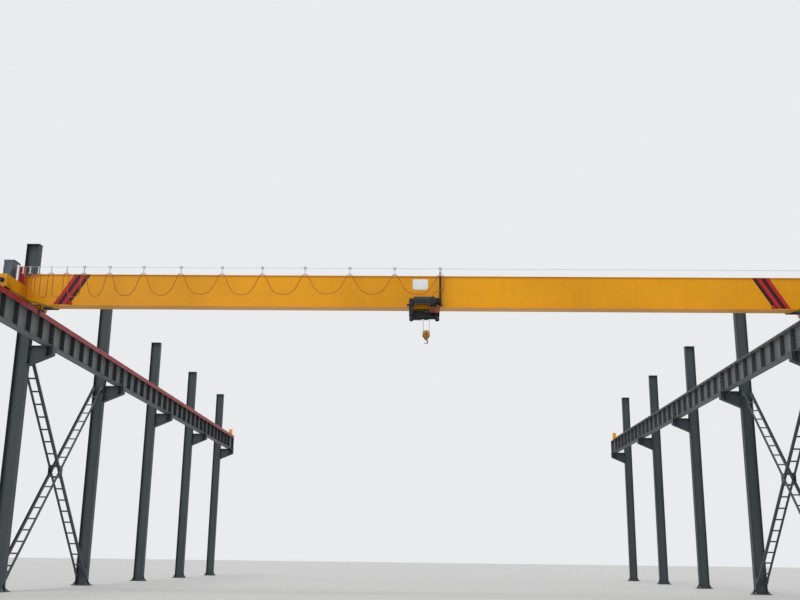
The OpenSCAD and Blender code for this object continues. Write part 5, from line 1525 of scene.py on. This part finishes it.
class CRANE_OT_travel_drives(bpy.types.Operator):
    """Models the geared motors that drive the end carriages"""

    bl_idname = "crane.travel_drives"
    bl_label = "Travel drives"

    def execute(self, context):
        left = at(-11.10, BRIDGE_Y + WHEEL_Y, WHEEL_Z)
        right = at(11.10, BRIDGE_Y + WHEEL_Y, WHEEL_Z) @ flip(-1, RIGHT)
        gearcase = self.gearcase()
        ring = around((0.061, 0, 0), RIGHT, 0.0885, 8, 0.2)
        plugs = [facing((0.055, -0.060, 0.030), FRONT), facing((0.080, 0.060, 0.085), BACK)]
        for side, place in (("left", left), ("right", right)):
            node = "travel_drive_" + side
            gearbox = join("travel_gearbox_" + side, [copy_to(gearcase, place)])
            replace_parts(dress(gearbox, "motor", "bridge"), node)
            flange = place @ at(0.110, 0, 0)
            whole = motor("travel_motor_" + side, 0.300, 0.085, 0.050, [flange], "bridge", "motor")
            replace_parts(whole, node)
            fasten("travel_rim_bolts_" + side, 0.0045, 0.005, within([place], ring), "bridge", washer=False)
            fasten("travel_plugs_" + side, 0.009, 0.008, within([place], plugs), "bridge", finish="brass")
        discard(gearcase)
        return {"FINISHED"}

    def gearcase(self):
        """A round gearbox with a rim, a square upper stage, a rib and a lifting eye."""
        case = start_rod("travel_case", (0, 0, 0), (0.100, 0, 0), 0.089, 40)
        rim = start_rod("travel_rim", (0.045, 0, 0), (0.061, 0, 0), 0.094, 40)
        stage = start_box("travel_stage", (0.001, -0.060, 0.0), (0.109, 0.060, 0.140))
        bevel_edges(stage, lambda centre, along: abs(along.x) > 0.9 and centre.z > 0.1, 0.030, 4)
        rib = start_box("travel_rib", (0.040, -0.066, 0.02), (0.050, 0.066, 0.120))
        eye = start_box("travel_eye", (0.048, -0.014, 0.140), (0.062, 0.014, 0.150))
        slopes = (
            (case, RIGHT, 0.008, 0.009), (rim, RIGHT, 0.002, 0.001),
            (stage, lambda centre, normal: normal.z > 0.95, 0.012, 0.010), (rib, UP, 0.003, 0.004),
            (eye, UP, 0.003, 0.0),
        )
        return soften(join("travel_case_parts", [slope_face(*slope) for slope in slopes]), 0.0015)


def gland(name, thread, height=0.030):
    """A cable gland that stands on a face: a hexagon with a domed nut."""
    base = start_rod(name, (0, 0, 0), (0, 0, height * 0.35), thread * 1.25, 6)
    slope_face(base, UP, thread * 0.12, height * 0.05)
    step_face(base, UP, thread * 0.10, height * 0.35)
    return slope_face(base, UP, thread * 0.30, height * 0.20)


def panel(name, low, high, front, rim, field, ease):
    """A pressed door or lid: a box with a sloped rim and a sunk field, each given as inset and rise."""
    piece = slope_face(start_box(name, low, high), front, *rim)
    step_face(piece, middle(front, (Vector(low) + Vector(high)) / 2), *field)
    return soften(piece, ease)


class CRANE_OT_cabinet_fittings(bpy.types.Operator):
    """Adds the doors, hinges, locks, vents, glands and bolts of the cabinet and the junction box"""

    bl_idname = "crane.cabinet_fittings"
    bl_label = "Cabinet fittings"

    def execute(self, context):
        face = CABINET_Y - 0.233
        self.door(face, -11.680, -11.440, 8.420, 9.060)
        gutter = start_box("cabinet_gutter", (-11.706, face - 0.004, 9.080), (-11.400, face + 0.002, 9.092))
        pull_face(gutter, DOWN, (0, -0.004, -0.012))
        dress(soften(gutter, 0.001), "motor", "bridge")
        screws = grid((-11.68, -11.43), (CABINET_Y - 0.205, CABINET_Y + 0.205), 9.092, UP)
        fasten("cabinet_roof_bolts", 0.010, 0.008, screws, "bridge")
        outlets = grid([-11.62 + 0.045 * index for index in range(4)], CABINET_Y - 0.025, 8.400, DOWN)
        put("cabinet_glands", gland("cabinet_gland", 0.013), outlets, "rubber", "bridge")
        cable_out = facing((-11.398, GLAND_Y, 8.820), RIGHT)
        put("cable_gland", gland("cable_gland_one", 0.0185, 0.008), [cable_out], "rubber", "bridge")
        bolts = grid(-11.420, (CABINET_Y - 0.165, CABINET_Y + 0.165), (8.240, 8.300), LEFT)
        fasten("cabinet_bracket_bolts", 0.010, 0.008, bolts, "bridge")
        self.junction_box(BRIDGE_Y - 0.430)
        return {"FINISHED"}

    def door(self, face, x0, x1, z0, z1):
        corners = (x0 - 0.004, face - 0.004, z0 - 0.004), (x1 + 0.004, face, z1 + 0.004)
        door = panel("cabinet_door", *corners, FRONT, (0.006, 0.003), (0.016, -0.004), 0.001)
        dress(door, "motor", "bridge")
        hinge = start_rod("cabinet_hinge", (0, 0, -0.030), (0, 0, 0.030), 0.0065, 12)
        for end in (UP, DOWN):
            step_face(hinge, end, 0.0012, 0.003)
        places = [at(x0 - 0.002, face - 0.006, z) for z in (8.52, 8.74, 8.96)]
        put("cabinet_hinges", hinge, places, "zinc", "bridge")
        x, front = x1 - 0.018, face - 0.013
        lock = start_rod("cabinet_lock", (x, face - 0.004, 8.74), (x, front, 8.74), 0.013, 20)
        slope_face(lock, FRONT, 0.002, 0.002)
        handle = start_box("cabinet_handle", (x - 0.007, front - 0.011, 8.655), (x + 0.007, front, 8.755))
        shape(handle, (FRONT, 0.003, 0.004), ease=0.002)
        dress(join("cabinet_lock_and_handle", [lock, handle]), "grille", "bridge")
        slat = start_box("cabinet_slat", (-0.070, -0.007, -0.0045), (0.070, 0.0, 0.0045))
        edit(slat)
        choose_faces(slat, FRONT)
        bpy.ops.transform.translate(value=(0, 0, -0.006))
        leave()
        places = [at((x0 + x1) / 2, face - 0.001, z0 + 0.060 + 0.016 * index) for index in range(7)]
        put("cabinet_vents", slat, places, "motor", "bridge")

    def junction_box(self, face):
        corners = (-11.350, face - 0.010, 8.436), (-11.150, face, 8.914)
        lid = panel("junction_lid", *corners, FRONT, (0.008, 0.005), (0.022, -0.003), 0.0015)
        dress(lid, "red", "bridge")
        screws = grid((-11.336, -11.164), face - 0.012, (8.455, 8.675, 8.895), FRONT)
        fasten("junction_screws", 0.006, 0.004, screws, "bridge", washer=False)
        outlets = grid((-11.30, -11.25, -11.20), BRIDGE_Y - 0.340, 8.430, DOWN)
        put("junction_glands", gland("junction_gland", 0.012, 0.026), outlets, "rubber", "bridge")
        lugs = [
            facing((-RAIL_X + side * 0.095, BRIDGE_Y + y, 8.415), (side, 0, 0))
            for side in SIDES for y in (-0.400, -0.280)
        ]
        fasten("junction_foot_bolts", 0.006, 0.005, lugs, "bridge", washer=False)


class CRANE_OT_festoon_fittings(bpy.types.Operator):
    """Adds the festoon's post bolts, turnbuckle, wire grips, roller axles and saddle keepers"""

    bl_idname = "crane.festoon_fittings"
    bl_label = "Festoon fittings"

    def execute(self, context):
        feet = [
            facing((sign * RAIL_X + dx, FESTOON_Y + dy, CARRIAGE_TOP + 0.010), UP)
            for sign in SIDES for dx in (-0.052, 0.052) for dy in (-0.052, 0.052)
        ]
        fasten("festoon_foot_bolts", 0.009, 0.008, feet, "bridge")
        cap = start_box("festoon_post_cap", (-0.033, -0.033, 0), (0.033, 0.033, 0.006))
        shape(cap, (UP, 0.012, 0.006), ease=0.0015)
        posts = [at(side * RAIL_X, FESTOON_Y, 8.915) for side in SIDES]
        put("festoon_post_caps", cap, posts, "zinc", "bridge")
        self.wire()
        tails = [place for x in CLAMP_XS for place in both_faces(x, FESTOON_Y, 0.020, WIRE_Z - 0.003)]
        fasten("clamp_bolts", 0.007, 0.006, tails, "bridge")
        self.keepers("clamp_keepers", CLAMP_XS, "bridge")
        for index, x in enumerate(CARRIER_XS, 1):
            body = "cable_carrier_%d" % index
            spots = ((x - 0.026, WIRE_Z + 0.0213), (x + 0.026, WIRE_Z + 0.0213), (x, WIRE_Z - 0.018))
            heads = [place for x_here, z in spots for place in both_faces(x_here, FESTOON_Y, 0.020, z)]
            fasten("carrier_bolts_%d" % index, 0.0075, 0.006, heads, body)
            self.keepers("carrier_keeper_%d" % index, [x], body)
        return {"FINISHED"}

    def wire(self):
        """The turnbuckle that tightens the wire, and the grips behind it."""
        buckle = start_box("turnbuckle", (-0.075, -0.013, -0.016), (0.075, 0.013, 0.016))
        slope_face(buckle, lambda centre, normal: abs(normal.y) > 0.9, 0.006, -0.007, singly=True)
        put("wire_turnbuckle", soften(buckle, 0.002), [at(11.085, FESTOON_Y, WIRE_Z)], "zinc", "bridge")
        ends = [facing((11.160, FESTOON_Y, WIRE_Z), RIGHT), facing((11.010, FESTOON_Y, WIRE_Z), LEFT)]
        fasten("turnbuckle_nuts", 0.012, 0.010, ends, "bridge")
        grip = start_box("wire_grip", (-0.008, -0.013, -0.016), (0.008, 0.013, 0.012))
        shape(grip, (DOWN, 0.003, 0.003), ease=0.0015)
        grip_xs = (10.96, 10.92, 10.88)
        put("wire_grips", grip, [at(x, FESTOON_Y, WIRE_Z) for x in grip_xs], "zinc", "bridge")
        nuts = grid(grip_xs, (FESTOON_Y - 0.0085, FESTOON_Y + 0.0085), WIRE_Z + 0.012, UP)
        fasten("wire_grip_nuts", 0.0055, 0.006, nuts, "bridge", washer=False)

    def keepers(self, name, xs, body):
        """Rubber strips that hold the cable down in its saddles, each under a cross bolt."""
        strip = start_box(name + "_strip", (-0.022, -0.012, 0.0035), (0.022, 0.012, 0.0130))
        shape(strip, (UP, 0.004, 0.003), ease=0.0015)
        put(name, strip, [at(x, FESTOON_Y, SEAT_Z + 0.004) for x in xs], "rubber", body)
        heads = [place for x in xs for place in both_faces(x, FESTOON_Y, 0.020, SEAT_Z + 0.022)]
        fasten(name + "_bolts", 0.005, 0.004, heads, body, washer=False)


# Fittings of the trolley and the hook


def pin_cap(name, height, radius, slope, field=None, ease=0.0012):
    """A round cap on the end of a pin or an axle, with a raised middle if asked."""
    cap = slope_face(start_rod(name, (0, 0, 0), (0, 0, height), radius, 28), UP, *slope)
    if field:
        step_face(cap, middle(UP), *field)
    return soften(cap, ease)


def pin_keeper(name, low, high):
    """A small plate that holds a pin in its place."""
    return slope_face(start_box(name, low, high), UP, 0.002, 0.001)


class CRANE_OT_hoist_fittings(bpy.types.Operator):
    """Models the hoist's motors, and adds its covers' bolts, axle caps, glands and stiffening ribs"""

    bl_idname = "crane.hoist_fittings"
    bl_label = "Hoist fittings"

    def execute(self, context):
        flange = [at(0.455, DRUM_Y, DRUM_Z)]
        whole = motor("lifting_motor", 0.190, 0.088, 0.040, flange, "trolley", "charcoal", terminal_box=False)
        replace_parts(whole, "hoist_motor")
        self.trolley_drive()
        self.drum_fittings()
        self.frame_fittings()
        self.control_box(BRIDGE_Y + 0.465)
        self.reeving_head()
        self.dark_bolts("tow_arm_bolts", 0.010, 0.009, grid(0.610, BRIDGE_Y - 0.265, (8.135, 8.175), FRONT))
        return {"FINISHED"}

    def dark_bolts(self, name, radius, height, places, stud=0.0):
        fasten(name, radius, height, places, "trolley", stud=stud, finish="charcoal")

    def trolley_drive(self):
        front, low = BRIDGE_Y - 0.394, 7.6343
        case = start_box("cross_gearbox_case", (0.490, front, low + 0.030), (0.584, BRIDGE_Y - 0.266, 7.884))
        slope_face(case, UP, 0.010, 0.0)
        slope_face(case, DOWN, 0.010, 0.0)
        step_face(case, FRONT, 0.012, -0.003)
        parts = [soften(case, 0.008, 3)]
        for index, z in enumerate((7.70, 7.80)):
            corners = (0.489, front - 0.002, z), (0.585, BRIDGE_Y - 0.265, z + 0.008)
            band = start_box("cross_gearbox_band_%d" % index, *corners)
            parts.append(slope_face(band, UP, 0.002, 0.001))
        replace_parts(dress(join("cross_gearbox", parts), "drive", "trolley"), "trolley_drive")
        flange = [at(0.490, BRIDGE_Y - 0.333, low + 0.095) @ spin(math.pi, "Z")]
        whole = motor("cross_motor", 0.215, 0.062, 0.035, flange, "trolley", "drive", terminal_box=False)
        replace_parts(whole, "trolley_drive")
        heads = grid((0.500, 0.574), front, (7.685, 7.77, 7.86), FRONT)
        fasten("cross_gearbox_bolts", 0.0055, 0.005, heads, "trolley", washer=False)

    def drum_fittings(self):
        """The drum's bearing, its gearbox's bolts and plugs, and its cover's bolts and ribs."""
        bearing = start_rod("drum_bearing", (-0.125, DRUM_Y, DRUM_Z), (-0.137, DRUM_Y, DRUM_Z), 0.055, 32)
        slope_face(bearing, LEFT, 0.004, 0.004)
        step_face(bearing, middle(LEFT, (0, DRUM_Y, DRUM_Z)), 0.022, 0.010)
        dress(soften(bearing, 0.0015), "charcoal", "trolley")
        self.dark_bolts("drum_bearing_bolts", 0.007, 0.006, around((-0.139, DRUM_Y, DRUM_Z), LEFT, 0.043, 6))
        spots = ((-0.288, 0.096), (-0.288, -0.104), (-0.452, 0.090), (-0.452, -0.105), (-0.280, 0.0))
        heads = [facing((0.455, BRIDGE_Y + y, DRUM_Z + z), RIGHT) for y, z in spots]
        self.dark_bolts("gearbox_bolts", 0.008, 0.007, heads)
        heads = grid(0.455, BRIDGE_Y - 0.485, (DRUM_Z - 0.05, DRUM_Z + 0.04), RIGHT)
        fasten("gearbox_plugs", 0.009, 0.008, heads, "trolley", finish="brass")
        edges = []
        for x in (-0.105, 0.018, 0.141, 0.264, 0.318):
            edges.append(facing((x, BRIDGE_Y - 0.514, DRUM_Z - 0.045), FRONT))
            edges.append(facing((x, BRIDGE_Y - 0.300, 8.1203), UP))
        self.dark_bolts("drum_cover_bolts", 0.006, 0.005, edges)
        rib = start_box("drum_cover_rib", (-0.006, -0.5155, 7.945), (0.006, -0.5135, 8.005))
        slope_face(rib, FRONT, 0.002, 0.002)
        put("drum_cover_ribs", rib, [at(x, BRIDGE_Y, 0) for x in (0.0, 0.10, 0.20)], "charcoal", "trolley")

    def frame_fittings(self):
        """Axle caps, shaft nuts and leg bolts; the trolley drive leaves three of the four legs free."""
        legs = [(x, side) for x in AXLE_XS for side in SIDES]
        free = [(x, side) for x, side in legs if (x, side) != (AXLE_XS[1], -1)]
        cap = pin_cap("axle_cap", 0.008, 0.040, (0.003, 0.002), (0.014, 0.006))
        places = [facing((x, BRIDGE_Y + side * 0.265, 7.9303), (0, side, 0)) for x, side in free]
        put("axle_caps", cap, places, "charcoal", "trolley")
        ring = around((0, 0, 0.010), UP, 0.031, 4, 0.78)
        fasten("axle_cap_bolts", 0.0055, 0.005, within(places, ring), "trolley", washer=False)
        nuts = [facing((x, BRIDGE_Y + side * 0.283, 7.6223), (0, side, 0)) for x, side in legs]
        self.dark_bolts("cross_shaft_nuts", 0.032, 0.018, nuts, stud=0.010)
        heads = [
            facing((x + dx, BRIDGE_Y + side * 0.265, z), (0, side, 0))
            for x, side in free for dx in (-0.04, 0.04) for z in (7.72, 7.85)
        ]
        self.dark_bolts("leg_bolts", 0.010, 0.009, heads)

    def control_box(self, rear):
        for index, (left, right) in enumerate(((-0.168, 0.166), (0.174, 0.508))):
            corners = (left, rear, 7.690), (right, rear + 0.006, 8.070)
            lid = panel("control_lid_%d" % index, *corners, BACK, (0.006, 0.003), (0.020, -0.004), 0.0012)
            dress(lid, "charcoal", "trolley")
        screws = grid((-0.156, 0.154, 0.186, 0.496), rear + 0.009, (7.703, 7.88, 8.057), BACK)
        fasten("control_lid_screws", 0.006, 0.004, screws, "trolley", washer=False)
        outlets = grid((-0.10, -0.04, 0.02, 0.30, 0.36), BRIDGE_Y + 0.375, 7.680, DOWN)
        put("control_glands", gland("control_gland", 0.012, 0.028), outlets, "rubber", "trolley")

    def reeving_head(self):
        """The head's pin caps and bolts; the rope's guide stands where one bolt would be."""
        half = 0.070
        faces = both_faces(HOOK_X, BRIDGE_Y, half, HEAD_PIN_Z)
        cap = pin_cap("pin_cap", 0.010, 0.034, (0.004, 0.003))
        put("reeving_pin_caps", cap, faces, "charcoal", "trolley")
        keeper = pin_keeper("pin_keeper", (-0.022, 0.026, 0.0), (0.022, 0.042, 0.006))
        put("reeving_pin_keepers", keeper, faces, "zinc", "trolley")
        spots = [(x, z) for x in (-0.115, -0.02, 0.075) for z in (7.690, 7.785)]
        spots += [(HOOK_X + dx, z) for dx in (-0.08, 0.08) for z in (7.662, 7.782)]
        guide = (HOOK_X + 0.08, 7.662)
        heads = [
            facing((x, BRIDGE_Y + side * half, z), (0, side, 0))
            for side in SIDES for x, z in spots if side > 0 or (x, z) != guide
        ]
        self.dark_bolts("reeving_bolts", 0.007, 0.006, heads)


class CRANE_OT_hook_fittings(bpy.types.Operator):
    """Models the forged hook, and adds the hook block's pin caps, bolts and rope guards and the hook's nut"""

    bl_idname = "crane.hook_fittings"
    bl_label = "Hook fittings"

    def execute(self, context):
        cheek = 0.029
        faces = both_faces(HOOK_X, BRIDGE_Y, cheek, SHEAVE_Z)
        cap = pin_cap("sheave_pin_cap", 0.007, 0.028, (0.003, 0.002), (0.010, 0.004), 0.001)
        put("sheave_pin_caps", cap, faces, "charcoal", "lower_block")
        keeper = pin_keeper("sheave_keeper", (-0.024, 0.020, 0.0), (0.024, 0.034, 0.006))
        put("sheave_pin_keepers", keeper, faces, "zinc", "lower_block")
        spots = (
            (-0.084, 0.040), (0.084, 0.040), (-0.040, 0.084), (0.040, 0.084), (-0.086, -0.048),
            (0.086, -0.048), (-0.030, -0.125), (0.030, -0.125), (-0.016, 0.027), (0.016, 0.027),
        )
        heads = [
            facing((HOOK_X + dx, BRIDGE_Y + side * cheek, SHEAVE_Z + dz), (0, side, 0))
            for side in SIDES for dx, dz in spots
        ]
        fasten("hook_block_bolts", 0.0075, 0.006, heads, "lower_block")
        guard = start_box("rope_guard", (-0.030, -0.0185, 0.0975), (0.030, 0.0185, 0.1005))
        slope_face(guard, UP, 0.004, 0.001)
        places = [at(HOOK_X, BRIDGE_Y, SHEAVE_Z) @ spin(turn, "Y") for turn in (-0.30, 0.30)]
        put("rope_guards", guard, places, "charcoal", "lower_block")
        self.hook()
        fasten("hook_lock_nut", 0.0135, 0.012, grid(HOOK_X, BRIDGE_Y, 7.044, UP), "load_hook", stud=0.005)
        collar = start_rod("hook_collar", (HOOK_X, BRIDGE_Y, 6.972), (HOOK_X, BRIDGE_Y, 6.984), 0.024, 28)
        dress(shape(collar, (DOWN, 0.006, 0.004), ease=0.001), "charcoal", "load_hook")
        return {"FINISHED"}

    def hook(self):
        """The forged hook: a shank that swings out into a bowl, thickest below and drawn to a blunt tip."""
        centre = Vector((HOOK_X, BRIDGE_Y, 6.908))
        bowl_r, bar_r, steps = 0.047, 0.015, 28
        first, sweep = 38, 188

        def on_bowl(degrees):
            turn = math.radians(degrees)
            return centre + bowl_r * Vector((math.cos(turn), 0, math.sin(turn)))

        bowl = [on_bowl(first - sweep * index / steps) for index in range(steps + 1)]
        along = (bowl[1] - bowl[0]).normalized()
        neck = centre + Vector((0, 0, 0.076))
        swing = [neck, neck - Vector((0, 0, 0.026)), bowl[0] - 0.026 * along, bowl[0]]
        path = [neck, *bezier(swing, 10), *bowl[1:]]
        thick = [1.07 - 0.007 * index for index in range(11)]
        gone = [index / steps for index in range(1, steps + 1)]
        thick += [1.0 + 0.06 * math.sin(math.pi * part) - 0.36 * part ** 1.6 for part in gone]
        ahead = (path[-1] - path[-2]).normalized()
        nose = path[-1]
        for reach, share_here in ((0.006, 0.60), (0.011, 0.50), (0.0145, 0.32), (0.0155, 0.12)):
            path.append(nose + reach * (ahead + Vector((-0.25, 0, 0.1))))
            thick.append(share_here)
        bar = curve_tube("hook_bowl", path, bar_r, 6, thick)
        shank = start_rod("hook_shank", neck - Vector((0, 0, 0.004)), (HOOK_X, BRIDGE_Y, 7.031), 0.016, 32)
        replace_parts(dress(join("forged_hook", [face_outward(bar), shank]), "hook", "load_hook"), "hook")
        nut = start_rod("hook_nut", (HOOK_X, BRIDGE_Y, 7.030), (HOOK_X, BRIDGE_Y, 7.044), 0.018, 32)
        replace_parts(dress(shape(nut, (UP, 0.002, 0.0), ease=0.001), "charcoal", "load_hook"), "hook")


OPERATORS = [
    CRANE_OT_finishes, CRANE_OT_stage, CRANE_OT_festoon_cable, CRANE_OT_hoist_rope, CRANE_OT_column_fittings,
    CRANE_OT_beam_fittings, CRANE_OT_rail_fittings, CRANE_OT_bracing_fittings, CRANE_OT_conductor_fittings,
    CRANE_OT_girder_fittings, CRANE_OT_carriage_fittings, CRANE_OT_travel_drives, CRANE_OT_cabinet_fittings,
    CRANE_OT_festoon_fittings, CRANE_OT_hoist_fittings, CRANE_OT_hook_fittings,
]
STEPS = [operator.bl_idname.split(".")[1] for operator in OPERATORS]


class CRANE_PT_panel(bpy.types.Panel):
    """Lists the crane's settings and the steps that build its looks"""

    bl_idname = "CRANE_PT_panel"
    bl_label = "Overhead bridge crane"
    bl_space_type = "VIEW_3D"
    bl_region_type = "UI"
    bl_category = "Crane"

    def draw(self, context):
        layout = self.layout
        for group in (colours(), sizes(), weather()):
            column = layout.column(align=True)
            for name in group.__annotations__:
                column.prop(group, name)
        for step in STEPS:
            layout.operator("crane." + step)


CLASSES = [CraneColours, CraneSizes, CraneWeather, *OPERATORS, CRANE_PT_panel]


def register():
    for kind in CLASSES:
        bpy.utils.register_class(kind)
    bpy.types.Scene.crane_colours = bpy.props.PointerProperty(type=CraneColours)
    bpy.types.Scene.crane_sizes = bpy.props.PointerProperty(type=CraneSizes)
    bpy.types.Scene.crane_weather = bpy.props.PointerProperty(type=CraneWeather)


def unregister():
    del bpy.types.Scene.crane_weather
    del bpy.types.Scene.crane_sizes
    del bpy.types.Scene.crane_colours
    for kind in reversed(CLASSES):
        bpy.utils.unregister_class(kind)


def main():
    register()
    for step in STEPS:
        getattr(bpy.ops.crane, step)()
    clear_selection()


if __name__ == "__main__":
    main()
